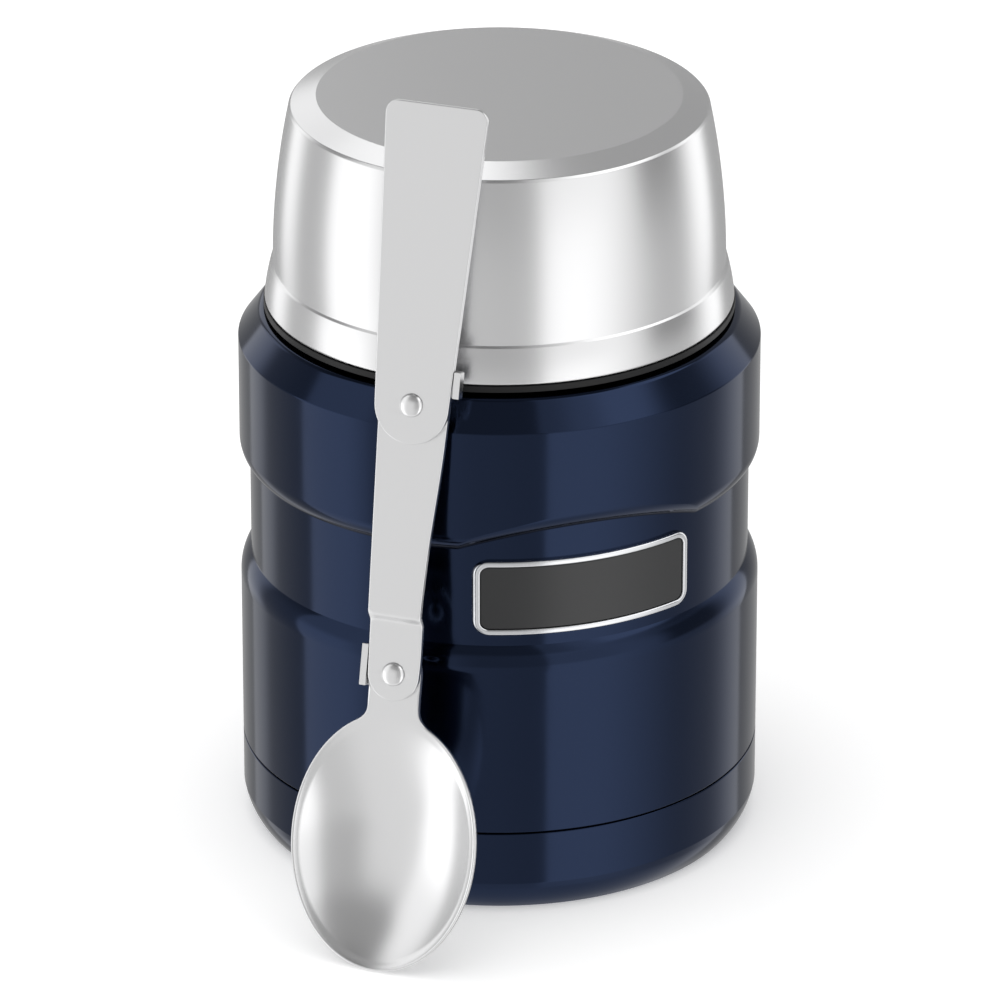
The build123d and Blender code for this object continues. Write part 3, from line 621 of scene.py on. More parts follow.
# The effects: what lays out their noise, its detail and roughness, and their own inputs.
EFFECTS = {
    "Fine grain": (fine_grain, 3.0, 0.6, [("Size", FLOAT, 0.001)]),
    "Turned lines": (
        turned_lines, 2.0, 0.55, [("Spacing", FLOAT, 0.0002), ("Run", FLOAT, 2.0)],
    ),
    "Straight lines": (
        straight_lines, 2.0, 0.55,
        [("Along", VECTOR, (0.0, 1.0, 0.0)), ("Across", VECTOR, (1.0, 0.0, 0.0)),
         ("Spacing", FLOAT, 0.0002), ("Run", FLOAT, 0.02)],
    ),
}


@cache
def effect_group(name):
    """The shader group of an effect: a height, and a value between Low and High."""
    lay_out, detail, roughness, inputs = EFFECTS[name]
    tree, start, end = new_group(
        name, [*inputs, ("Low", FLOAT, 0.0), ("High", FLOAT, 1.0)], ["Height", "Value"]
    )
    place = tree.nodes.new("ShaderNodeTexCoord").outputs["Object"]
    where, scale = lay_out(tree, start.outputs, place)
    noise = node(
        tree, "ShaderNodeTexNoise", Vector=where, Scale=scale, Detail=detail, Roughness=roughness
    )
    spread = node(
        tree, "ShaderNodeMapRange", Value=noise.outputs[0], i1=0.3, i2=0.7,
        i3=start.outputs["Low"], i4=start.outputs["High"],
    )
    tree.links.new(noise.outputs[0], end.inputs["Height"])
    tree.links.new(spread.outputs[0], end.inputs["Value"])
    return tree


def effect(tree, name, **values):
    """An effect's node in a material, with its input values."""
    return node(tree, "ShaderNodeGroup", node_tree=effect_group(name), **values)


def blank(name, rgb, **shader):
    """A material with a plain Principled BSDF of a base colour, its tree and its shader."""
    material = bpy.data.materials.new(name)
    material.use_nodes = True
    tree = material.node_tree
    bsdf = next(n for n in tree.nodes if n.type == "BSDF_PRINCIPLED")
    bsdf.inputs["Base Color"].default_value = (*rgb, 1)
    for key, value in shader.items():
        bsdf.inputs[key.replace("_", " ")].default_value = value
    return material, tree, bsdf


def vary(tree, bsdf, made, rgb, low, high):
    """Lets an effect's value move the base colour between two shares of rgb."""
    mix = node(
        tree, "ShaderNodeMix", data_type="RGBA", i0=made.outputs["Value"],
        i6=(*[c * low for c in rgb], 1), i7=(*[c * high for c in rgb], 1),
    )
    tree.links.new(mix.outputs[2], bsdf.inputs["Base Color"])


def emboss(tree, bsdf, made, depth, before=None):
    """Lets an effect's height press into the surface by a depth, over an earlier press."""
    bump = node(
        tree, "ShaderNodeBump", Distance=depth, Strength=1.0, Height=made.outputs["Height"]
    )
    if before is not None:
        tree.links.new(before.outputs[0], bump.inputs["Normal"])
    tree.links.new(bump.outputs[0], bsdf.inputs["Normal"])
    return bump


def lacquer():
    """Deep blue metallic lacquer with fine flakes and a faint orange peel."""
    rgb = tuple(bpy.context.scene.food_jar_finishes.lacquer)
    material, tree, bsdf = blank("Deep blue lacquer", rgb, Metallic=1.0, Roughness=0.12)
    flakes = effect(tree, "Fine grain", Size=0.00012)
    vary(tree, bsdf, flakes, rgb, 0.94, 1.06)
    handling = effect(tree, "Fine grain", Size=0.012, Low=0.105, High=0.135)
    tree.links.new(handling.outputs["Value"], bsdf.inputs["Roughness"])
    peel = effect(tree, "Fine grain", Size=0.0016)
    emboss(tree, bsdf, peel, 0.0000012)
    return material


def steel(name, rgb, polish, depth, grain_size, **lines):
    """Satin steel with the lines of a polish over a faint grain."""
    material, tree, bsdf = blank(name, rgb, Metallic=1.0)
    if polish == "Straight lines":
        place = spoon_place(bpy.context.scene.food_jar_spoon)
        lines.update(Along=place.col[1].xyz, Across=place.col[0].xyz)
    drawn = effect(tree, polish, **lines)
    vary(tree, bsdf, drawn, rgb, 0.994, 1.004)
    tree.links.new(drawn.outputs["Value"], bsdf.inputs["Roughness"])
    grain = effect(tree, "Fine grain", Size=grain_size)
    emboss(tree, bsdf, drawn, depth, emboss(tree, bsdf, grain, FAINT))
    return material


def moulded(name, rgb, roughness, size, depth, **shader):
    """A moulded plastic, rubber or foam with a fine grain."""
    material, tree, bsdf = blank(name, rgb, **shader)
    grain = effect(tree, "Fine grain", Size=size, Low=roughness - 0.05, High=roughness + 0.05)
    vary(tree, bsdf, grain, rgb, 0.92, 1.08)
    tree.links.new(grain.outputs["Value"], bsdf.inputs["Roughness"])
    emboss(tree, bsdf, grain, depth)
    return material


# Steels by slot: name, colour, polish, depth of its lines, size of the grain, and its lines.
VESSEL_STEEL = (
    "Turned vessel steel", "vessel_steel", "Turned lines", 0.0000008, 0.0004,
    dict(Spacing=0.0003, Run=1.6, Low=0.22, High=0.3),
)
STEELS = {
    "cup_steel": (
        "Satin cup steel", "cup_steel", "Turned lines", FAINT, 0.0004,
        dict(Spacing=0.00022, Run=1.6, Low=0.25, High=0.26),
    ),
    "spoon_steel": (
        "Satin spoon steel", "spoon_steel", "Straight lines", FAINT, 0.0003,
        dict(Spacing=0.0002, Run=0.006, Low=0.255, High=0.265),
    ),
    "vessel_steel": VESSEL_STEEL,
    "getter_metal": VESSEL_STEEL,
}
# Moulded finishes by slot: name, colour, roughness, size and depth of the grain, and the rest.
MOULDED = {
    "black_plastic": (
        "Black plastic", "collar", 0.42, 0.0003, 0.000004, dict(Specular_IOR_Level=0.25),
    ),
    "badge_charcoal": ("Badge charcoal", "badge_plate", 0.34, 0.00025, 0.000002, {}),
    "badge_silver": ("Badge silver", "badge_frame", 0.2, 0.0004, 0.0000005, dict(Metallic=1.0)),
    "silicone": ("Seal rubber", "seal", 0.5, 0.0005, 0.000006, dict(Subsurface_Weight=0.1)),
    "foam": ("Stopper foam", "foam", 0.85, 0.0012, 0.00015, {}),
    "foil": ("Thin foil", "foil", 0.25, 0.006, 0.0002, dict(Metallic=1.0)),
    "seal_glass": ("Sealing bead", "bead", 0.2, 0.0008, 0.000004, {}),
}


@cache
def finish(slot):
    """The finish of a slot, built on its first use."""
    if slot == "navy_lacquer":
        return lacquer()
    make, (name, hue, *numbers, rest) = (
        (steel, STEELS[slot]) if slot in STEELS else (moulded, MOULDED[slot])
    )
    rgb = tuple(getattr(bpy.context.scene.food_jar_finishes, hue))
    return make(name, rgb, *numbers, **rest)


def settle(piece, body, slot, *nodes):
    """Gives a piece the finish of a slot, lets it ride on its body and hides the nodes it stands for.
    """
    piece.data.materials.clear()
    piece.data.materials.append(finish(slot))
    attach(piece, body)
    if nodes:
        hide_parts(*nodes)


# ---- Jar -----------------------------------------------------------------------------------------
def arch_heights(s, way, radii):
    """Heights of the arch's round over the badge, by direction and radius, and -1 far from it."""
    tilt_low = s.waist_radius * (1 - cos(s.arch_half))
    tilt = np.arctan2(s.arch_rise, tilt_low)
    sagitta = sqrt(s.arch_rise**2 + tilt_low**2)
    chord = s.waist_radius * sin(s.arch_half)
    radius = (chord**2 + sagitta**2) / (2 * sagitta)
    centre_x = s.waist_radius - radius * cos(tilt)
    centre_z = s.waist_high + s.arch_rise - radius * sin(tilt)
    depth = s.body_radius - s.waist_radius
    round_middle = s.body_radius - s.round_high
    rise = sqrt(s.round_high**2 - (s.round_high - depth) ** 2)
    round_height = s.waist_high + rise + s.arch_rise
    off = (way - s.arch_turn + pi) % (2 * pi) - pi
    # The arch has run out well before 60 degrees from its middle.
    near = np.abs(off) < radians(60)
    off = np.where(near, off, 0)
    x = radii[:, None] * np.cos(off)[None, :] - centre_x
    y = radii[:, None] * np.sin(off)[None, :]
    # Halving finds the height between a level under the waist's upper edge and one over it.
    low = np.full(x.shape, s.waist_high - 30 * MM)
    high = np.full(x.shape, s.waist_high + 30 * MM)
    for _ in range(48):
        z = (low + high) / 2
        along = -x * sin(tilt) + (z - centre_z) * cos(tilt)
        out = np.hypot(x * cos(tilt) + (z - centre_z) * sin(tilt), y)
        flat_x = centre_x + out * cos(tilt) - along * sin(tilt)
        flat_z = centre_z + out * sin(tilt) + along * cos(tilt)
        inside = np.clip(flat_x, s.waist_radius, s.body_radius) - round_middle
        over = flat_z > round_height - np.sqrt(np.maximum(s.round_high**2 - inside**2, 0))
        high = np.where(over, z, high)
        low = np.where(over, low, z)
    return np.where(near[None, :], (low + high) / 2, -1.0)


class FOODJAR_OT_body(bpy.types.Operator):
    """Build the lacquered body with its waist, its arch and its neck"""

    bl_idname = "foodjar.body"
    bl_label = "Jar body"

    def execute(self, context):
        s = context.scene.food_jar_sizes
        way = around(576)
        radii, heights = self.outside(s, way)
        outside = ring(radii[:, None], way, heights)
        radii, heights = self.inside(s.wall, radii, heights)
        inside = ring(radii[:, None], way, heights)
        rows = np.concatenate([outside, inside[::-1]])
        piece = skin("jar_body", rows, loop=True, crease=24)
        settle(piece, "jar", "navy_lacquer", "outer_shell")
        piece.data.materials.append(finish("vessel_steel"))
        bare = s.ledge_height + s.neck_round
        for face in piece.data.polygons:
            if face.center.z > bare:
                face.material_index = 1
        ridge = thread(
            "neck_thread", s.neck_radius, height=MM, low=0.1055, high=0.1155,
            foot=0.0026, land=0.0012,
        )
        settle(ridge, "jar", "vessel_steel")
        return {"FINISHED"}

    @staticmethod
    def outside(s, way):
        """The radius and, by direction, the heights of each row from the skirt to the neck."""
        depth = s.body_radius - s.waist_radius
        side_low = s.waist_low - sqrt(s.round_low**2 - (s.round_low - depth) ** 2)
        side_high = s.waist_high + sqrt(s.round_high**2 - (s.round_high - depth) ** 2)
        seam = s.seam_height + s.seam_width / 2
        skirt = fillet([
            (s.skirt_radius, s.skirt_low, 0), (s.skirt_radius, seam, 0.0001),
            (s.body_radius, seam, 0.00022), (s.body_radius, side_low, 0),
        ], 4)
        low_round = bow((s.body_radius, side_low), (s.waist_radius, s.waist_low), -s.round_low, 12)
        turns = np.linspace(np.arccos((s.round_high - depth) / s.round_high), 0, 15)
        high_radii = s.body_radius - s.round_high * (1 - np.cos(turns))
        high_heights = side_high - s.round_high * np.sin(turns)
        arch = np.maximum(high_heights[:, None], arch_heights(s, way, high_radii))
        upper = fillet([
            (s.body_radius, side_high, 0), (s.body_radius, s.shoulder_height, s.shoulder_round),
            (s.ledge_radius, s.ledge_height, 0.0015), (s.neck_radius, s.ledge_height, s.neck_round),
            (s.neck_radius, s.neck_top, 0),
        ], 10)[1:]

        def between(radius, low, high, parts):
            """The rows that divide a straight side."""
            return [(radius, low + (high - low) * t) for t in np.linspace(0, 1, parts + 1)[1:-1]]

        rows = [
            *skirt[:-1], *between(s.body_radius, seam, side_low, 6),
            *low_round, *between(s.waist_radius, s.waist_low, arch[0], 9),
            *zip(high_radii, arch), *between(s.body_radius, arch[-1], upper[0][1], 6),
            *upper,
        ]
        return (
            np.array([r for r, z in rows]),
            np.array([np.broadcast_to(z, way.shape) for r, z in rows]),
        )

    @staticmethod
    def inside(wall, radii, heights):
        """The inside follows the outside at the wall's thickness, square to the section."""
        step_r, step_z = np.gradient(radii), np.gradient(heights.mean(axis=1))
        size = np.hypot(step_r, step_z)
        inner_radii = radii - wall * step_z / size
        inner_heights = heights + (wall * step_r / size)[:, None]
        inner_heights[0], inner_heights[-1] = heights[0], heights[-1]
        # Rows that a corner tighter than the wall would turn back on themselves are left out.
        levels, kept = inner_heights.mean(axis=1), [0]
        for i in range(1, len(radii)):
            gain_r, gain_z = inner_radii[i] - inner_radii[kept[-1]], levels[i] - levels[kept[-1]]
            if gain_r * step_r[i] + gain_z * step_z[i] > 1e-9 * size[i]:
                kept.append(i)
        return inner_radii[kept], inner_heights[kept]


class FOODJAR_OT_base(bpy.types.Operator):
    """Build the base cup with its foot ring"""

    bl_idname = "foodjar.base"
    bl_label = "Base cup"

    def execute(self, context):
        s = context.scene.food_jar_sizes
        seam = s.seam_height - s.seam_width / 2
        ring_radius = s.foot_radius - s.foot_ring
        slope_bow = 0.0125
        slope = bow((s.body_radius, s.foot_height), (s.foot_radius, 0), slope_bow, 12)
        lean = 0.001  # how much the hollow's wall leans
        pad_radius, pad_step, pad_lift = 0.029, 0.0005, 0.0003  # the middle of the hollow
        pad = s.foot_recess + pad_lift
        under = s.foot_recess + s.wall
        corners = [
            (s.body_radius - s.wall, seam, 0.0002), (s.body_radius, seam, 0.0002),
            (s.body_radius, s.foot_height, 0.0008), *sharp(slope[2:-2]),
            (s.foot_radius, 0, 0.0003), (ring_radius, 0, 0.0005),
            (ring_radius - lean, s.foot_recess, 0.0005),
            (pad_radius + pad_step, s.foot_recess, 0.0004), (pad_radius, pad, 0.0003), (0, pad, 0),
        ]
        inside = [
            (0, under + pad_lift, 0), (pad_radius, under + pad_lift, 0),
            (ring_radius - lean + s.wall, under, 0.0003), (ring_radius + s.wall, s.wall, 0.0003),
            (s.foot_radius - s.wall, s.wall, 0.0003),
            (s.body_radius - s.wall, s.foot_height, 0.0008),
            (s.body_radius - s.wall, seam - MM, 0),
        ]
        line = np.concatenate([fillet(corners, 6), fillet(inside, 4)])
        piece = skin("base_cup_body", turned(line), loop=True, crease=30)
        settle(piece, "jar", "navy_lacquer", "base_cup")
        return {"FINISHED"}


class FOODJAR_OT_vessel(bpy.types.Operator):
    """Build the inner vessel with its rolled lip, and finish what lies between the walls"""

    bl_idname = "foodjar.vessel"
    bl_label = "Inner vessel"

    # Nodes that are kept as they are, with their slots.
    KEPT = {
        "radiation_foil": "foil", "closing_plate": "vessel_steel", "vacuum_seal_bead": "seal_glass",
        "getter_capsule": "getter_metal", "stopper_insulation": "foam",
    }

    def execute(self, context):
        v = context.scene.food_jar_vessel
        s = context.scene.food_jar_sizes
        lip = s.neck_top + v.lip
        bore = v.neck_radius - v.wall
        inner = v.radius - v.wall
        floor = v.floor_height + v.wall
        piece = lathe("food_vessel", [
            (0, v.floor_height, 0), (v.radius, v.floor_height, v.floor_round),
            (v.radius, v.shoulder_height, v.shoulder_round),
            (v.neck_radius, v.neck_height, v.shoulder_round), (v.neck_radius, s.neck_top, 0),
            (s.neck_radius, s.neck_top, 0.00015), (s.neck_radius, lip, 0.0004), (bore, lip, 0.0004),
            (bore, v.neck_height + v.wall / 2, v.shoulder_round + v.wall),
            (inner, v.shoulder_height, v.shoulder_round - v.wall),
            (inner, floor, v.floor_round - v.wall), (0, floor, 0),
        ], 10, crease=30)
        settle(piece, "jar", "vessel_steel", "inner_vessel")
        for name, slot in self.KEPT.items():
            kept = frame["nodes"][name]
            kept.data.materials.clear()
            kept.data.materials.append(finish(slot))
        return {"FINISHED"}


def badge_outline(s, inset):
    """Flat points round the badge, from its middle, drawn in by inset."""
    radius = max(s.badge_corner - inset, 0.2 * MM)
    x, y = s.badge_wide / 2 - inset - radius, s.badge_tall / 2 - inset - radius
    corners = [
        arc(centre, radius, start, start + 90, 8)
        for centre, start in (((x, y), 0), ((-x, y), 90), ((-x, -y), 180), ((x, -y), 270))
    ]
    flat = []
    for corner, following in zip(corners, corners[1:] + corners[:1]):
        flat.extend(corner)
        for t in np.linspace(0, 1, 21)[1:-1]:
            flat.append(np.array(corner[-1]) * (1 - t) + np.array(following[0]) * t)
    return np.array(flat)


def badge_row(s, inset, height, drawn=0.0):
    """The badge's outline laid on the waist at a height, drawn towards its middle by a share."""
    flat = badge_outline(s, inset) * (1 - drawn)
    r = s.waist_radius + FIT + height
    return ring(r, s.arch_turn + np.arcsin(flat[:, 0] / r), s.badge_height + flat[:, 1])


class FOODJAR_OT_badge(bpy.types.Operator):
    """Build the badge: a bright frame and a plain plate, both bent round the waist"""

    bl_idname = "foodjar.badge"
    bl_label = "Badge"

    def execute(self, context):
        s = context.scene.food_jar_sizes
        rise, border = s.badge_frame_rise, s.badge_border
        edge = fillet([
            (0, 0, 0), (0, rise, 0.0004), (border, rise, 0.0004), (border, 0, 0),
            (border / 2, 0, 0),
        ], 5)
        piece = skin("badge_frame", [badge_row(s, d, h) for d, h in edge], loop=True, crease=40)
        settle(piece, "jar", "badge_silver", "badge_rim")
        inset = border + FIT
        rise, brim = s.badge_plate_rise, MM
        shares = np.linspace(0, 1, 14)
        edge = fillet([(0, 0, 0), (0, rise, 0.00025), (brim, rise, 0)], 5)
        rows = [badge_row(s, inset, 0, t) for t in shares[:0:-1]]
        rows += [badge_row(s, inset + d, h) for d, h in edge]
        rows += [badge_row(s, inset + brim, rise, t) for t in shares[1:]]
        piece = skin("badge_plate", rows, crease=40)
        settle(piece, "jar", "badge_charcoal", "badge_face")
        return {"FINISHED"}


# ---- Stopper -------------------------------------------------------------------------------------
class FOODJAR_OT_stopper(bpy.types.Operator):
    """Build the screw stopper: plug, thread, seal and fluted knob"""

    bl_idname = "foodjar.stopper"
    bl_label = "Stopper"

    def execute(self, context):
        s = context.scene.food_jar_stopper
        flange_top = s.flange_low + s.flange_thick
        bore = s.plug_radius - s.plug_wall
        groove = s.plug_radius - s.groove_depth
        seal_high = s.seal_low + s.seal_height
        floor = s.plug_low + s.plug_floor
        nose = s.plug_radius - 2 * MM  # radius of the plug's end, which leads it into the neck
        plug = lathe("stopper_plug", [
            (0, s.plug_low, 0), (nose, s.plug_low, 0.0006),
            (s.plug_radius, s.seal_low, 0.0001), (groove, s.seal_low, 0.0001),
            (groove, seal_high, 0.0001), (s.plug_radius, seal_high, 0.0004),
            (s.plug_radius, s.flange_low, 0.0003), (s.flange_radius, s.flange_low, 0.0006),
            (s.flange_radius, flange_top, 0.0008), (bore, flange_top, 0.0003),
            (bore, floor, 0.0006), (0, floor, 0),
        ], 6)
        settle(plug, "stopper", "black_plastic", "stopper_body")
        ridge = thread(
            "stopper_thread", s.plug_radius, height=1.1 * MM, low=0.1045, high=0.1165,
            foot=0.0024, land=0.0011,
        )
        settle(ridge, "stopper", "black_plastic")
        low, high = s.seal_low + FIT, seal_high - FIT
        seal = lathe("stopper_seal_ring", [
            (groove + FIT, low, 0.0001), (s.seal_radius, low, 0.0009),
            (s.seal_radius, high, 0.0009), (groove + FIT, high, 0.0001),
        ], 6, loop=True)
        settle(seal, "stopper_seal", "silicone", "stopper_gasket")
        self.make_knob(s, flange_top)
        return {"FINISHED"}

    @staticmethod
    def make_knob(s, low):
        """The fluted knob over the flange, with the recess for the folded spoon in its top."""
        way = around(720)
        half_flat = (s.recess_long - s.recess_wide) / 2
        half_wide = s.recess_wide / 2
        # The recess is a long slot: its edge is straight beside the middle, round at the ends.
        cx, sx = np.abs(np.cos(way)), np.abs(np.sin(way))
        straight = half_wide / np.maximum(cx, 1e-9)
        rounded = half_flat * sx + np.sqrt(np.maximum(half_wide**2 - (half_flat * cx) ** 2, 0))
        slot = np.where(straight * sx < half_flat, straight, rounded)
        flutes = s.flute_depth * (0.5 + 0.5 * np.cos(s.flutes * way)) ** 3
        grip = s.knob_radius - flutes
        floor = low + s.knob_floor
        top_round, slot_round, floor_round = 0.0015, 0.0005, 0.0025
        # The flutes deepen over a short height round their start, over a plain ledge.
        ledge, flute_start, flute_run = 0.0006, 0.0004, 0.0012
        shoulder = s.knob_top - top_round
        sixths = np.linspace(0, pi / 2, 7)[1:]
        fifths = np.linspace(0, pi / 2, 6)
        rows = [(0, low), (s.knob_radius, low), (s.knob_radius, s.flute_low - ledge)]
        rows += [
            (s.knob_radius - flutes * ease(t), s.flute_low - flute_start + flute_run * t)
            for t in np.linspace(0, 1, 6)
        ]
        rows += [(grip, shoulder)]
        rows += [(grip - top_round * (1 - cos(a)), shoulder + top_round * sin(a)) for a in sixths]
        rows += [
            (slot + slot_round * (1 - sin(a)), s.knob_top - slot_round * (1 - cos(a)))
            for a in fifths
        ]
        rows += [
            (slot - floor_round * (1 - cos(a)), floor + floor_round * (1 - sin(a)))
            for a in fifths
        ]
        rows += [(slot / 2, floor), (0, floor)]
        # The quarter turn lets the recess run from left to right.
        knob = skin("stopper_knob", [ring(r, way + pi / 2, z) for r, z in rows])
        settle(knob, "stopper", "black_plastic", "stopper_cap")


# ---- Serving cup ---------------------------------------------------------------------------------
class FOODJAR_OT_cup(bpy.types.Operator):
    """Build the serving cup: shell, collar with its thread, and lining"""

    bl_idname = "foodjar.cup"
    bl_label = "Serving cup"

    def execute(self, context):
        s = context.scene.food_jar_cup
        self.make_shell(s)
        collar = lathe("cup_collar", [
            (s.ring_bore, s.ring_low, 0.0003), (s.ring_radius, s.ring_low, 0.0002),
            (s.flange_radius, s.flange_low, 0.00015), (s.flange_radius, s.flange_high, 0.00008),
            (s.ring_radius, s.flange_high, 0.0001), (s.ring_radius, s.ring_edge, 0.0002),
            (s.ring_waist_radius, s.ring_waist, 0.0002), (s.ring_waist_radius, s.ring_top, 0.0001),
            (s.ring_bore, s.ring_top, 0.0002),
        ], 6, loop=True)
        settle(collar, "cup", "black_plastic", "cup_thread_ring")
        ridge = thread(
            "collar_thread", s.ring_bore, height=-MM, low=0.1015, high=0.1093,
            foot=0.0024, land=0.0011,
        )
        settle(ridge, "cup", "black_plastic")
        low, top = s.ring_top, s.lining_top
        wall, mouth = s.lining_wall, s.lining_mouth
        lip = 0.0004
        lining = lathe("cup_lining_steel", [
            (0, top - wall, 0), (s.lining_floor, top - wall, s.lining_round - wall),
            (mouth, low + lip, 0.0005), (mouth + lip, low, 0.0002),
            (s.ring_waist_radius, low, 0.0002), (s.ring_waist_radius, low + wall, 0.0002),
            (mouth + wall, low + wall, 0.0003), (s.lining_floor + wall, top, s.lining_round),
            (0, top, 0),
        ], 8)
        settle(lining, "cup_lining", "vessel_steel", "cup_liner")
        return {"FINISHED"}

    @staticmethod
    def make_shell(s):
        """The cup's thin shell, upside down, from its rolled mouth over the step to the disc."""
        wall = s.wall
        step_low = (s.step_low_radius, s.step_low_height)
        step_high = (s.step_high_radius, s.step_high_height)
        side = bow(step_high, (s.shoulder_radius, s.shoulder_height), -s.side_bow, 24)
        band = bow((s.flare_radius, s.flare_height), step_low, -s.band_bow, 8)
        inner = bow(
            (s.shoulder_radius - wall, s.rim_height - wall),
            (s.step_high_radius - wall, s.step_high_height), s.side_bow - wall, 12,
        )
        outline = fillet([
            (s.flare_radius - wall, s.flare_height, 0),
            (s.lip_radius - wall, s.lip_height, 0.00012), (s.lip_radius, s.lip_height, 0.00012),
            (s.flare_radius, s.flare_height, 0.0004),
            *sharp(band[1:-1]), (*step_low, 0.0001), (*step_high, 0.00012), *sharp(side[1:-1]),
            (s.shoulder_radius, s.shoulder_height, 0.0004), (s.rim_radius, s.rim_height, 0.0003),
            (s.disc_radius, s.disc_height, 0.0002), (0, s.disc_height, 0),
        ], 7)
        hollow = [
            (0, s.disc_height - wall), (s.disc_radius - wall / 2, s.disc_height - wall), *inner,
            (s.step_low_radius - wall, s.step_low_height),
        ]
        line = np.concatenate([outline[1:], hollow, outline[:1]])
        shell = skin("serving_cup", turned(line, 384), loop=True, crease=22)
        settle(shell, "cup", "cup_steel", "cup_shell")


# ---- Folding spoon -------------------------------------------------------------------------------
SKIM = 0.01 * MM                # keeps a tab's faces from lying in its plate's
HEEL, HEEL_CUT = 0.0006, 0.0002  # size of the outer bend of a stop tab, and of its bevel


def spoon_place(s):
    """The spoon's own frame: X across, Y from the bowl's tip to the handle, Z out of its face."""
    joints = {j["name"]: j for j in frame["joints"]}
    lower, upper = (Vector(joints[n]["pos_m"]) for n in ("link_fold", "handle_fold"))
    normal = Vector(joints["handle_fold"]["axis"]).normalized()
    along = (upper - lower).normalized()
    across = along.cross(normal).normalized()
    place = Matrix((across, along, normal)).transposed().to_4x4()
    place.translation = lower - along * s.lower_rivet
    return place


def spoon_levels(s):
    """Heights of the link's back under and over its joggle, and of the handle's back."""
    low = s.plate_gap
    high = low + s.joggle_step
    return low, high, high + s.plate + s.plate_gap


def bowl_reach(s, way):
    """How far the outline of the bowl and neck lies from the bowl's middle, by direction."""
    end = s.lower_rivet - s.bowl_half_length
    dx, dy = np.sin(way), np.cos(way)

    def outside(r):
        """How far points at a radius lie outside the outline."""
        x, y = np.abs(r * dx), r * dy
        share = np.hypot(x / s.bowl_half_width, y / s.bowl_half_length)
        oval = (share - 1) * np.hypot(x, y) / np.maximum(share, 1e-9)
        side = np.where(y > 0, x - s.neck_half_width, 1.0)
        neck = np.where(y < end, side, np.hypot(x, y - end) - s.neck_half_width)
        # The two outlines flow together over the flare's width.
        blend = np.maximum(s.neck_flare - np.abs(oval - neck), 0) / s.neck_flare
        return np.minimum(oval, neck) - blend**2 * s.neck_flare / 4

    # The outline is past the last of many radii that lie inside it.
    radii = np.linspace(5 * MM, 60 * MM, 700)
    values = np.array([outside(r) for r in radii])
    last = len(radii) - 1 - np.argmax((values < 0)[::-1], axis=0)
    low, high = radii[last], radii[np.minimum(last + 1, len(radii) - 1)]
    for _ in range(30):
        middle = (low + high) / 2
        inside = outside(middle) < 0
        low, high = np.where(inside, middle, low), np.where(inside, high, middle)
    return (low + high) / 2


def pin(name, along, line, segments, crease=35):
    """A turned piece across the spoon, from a (radius, height) line, at a place along it."""
    return skin(name, [
        [(r * sin(a), along + r * cos(a), z) for a in around(segments)] for r, z in line
    ], crease=crease)


def rivet_hole(s, along):
    """The outline of a rivet's hole."""
    return arc((0, along), s.rivet_radius + FIT, 0, 352.5, 47)


def make_tab(name, section, low, high):
    """A bent tab: a section in X and Z, drawn along Y between low and high."""
    matrix = Matrix(((1, 0, 0, 0), (0, 0, 1, low), (0, 1, 0, 0), (0, 0, 0, 1)))
    return plate(name, section, (), high - low, 0.18 * MM, matrix=matrix)


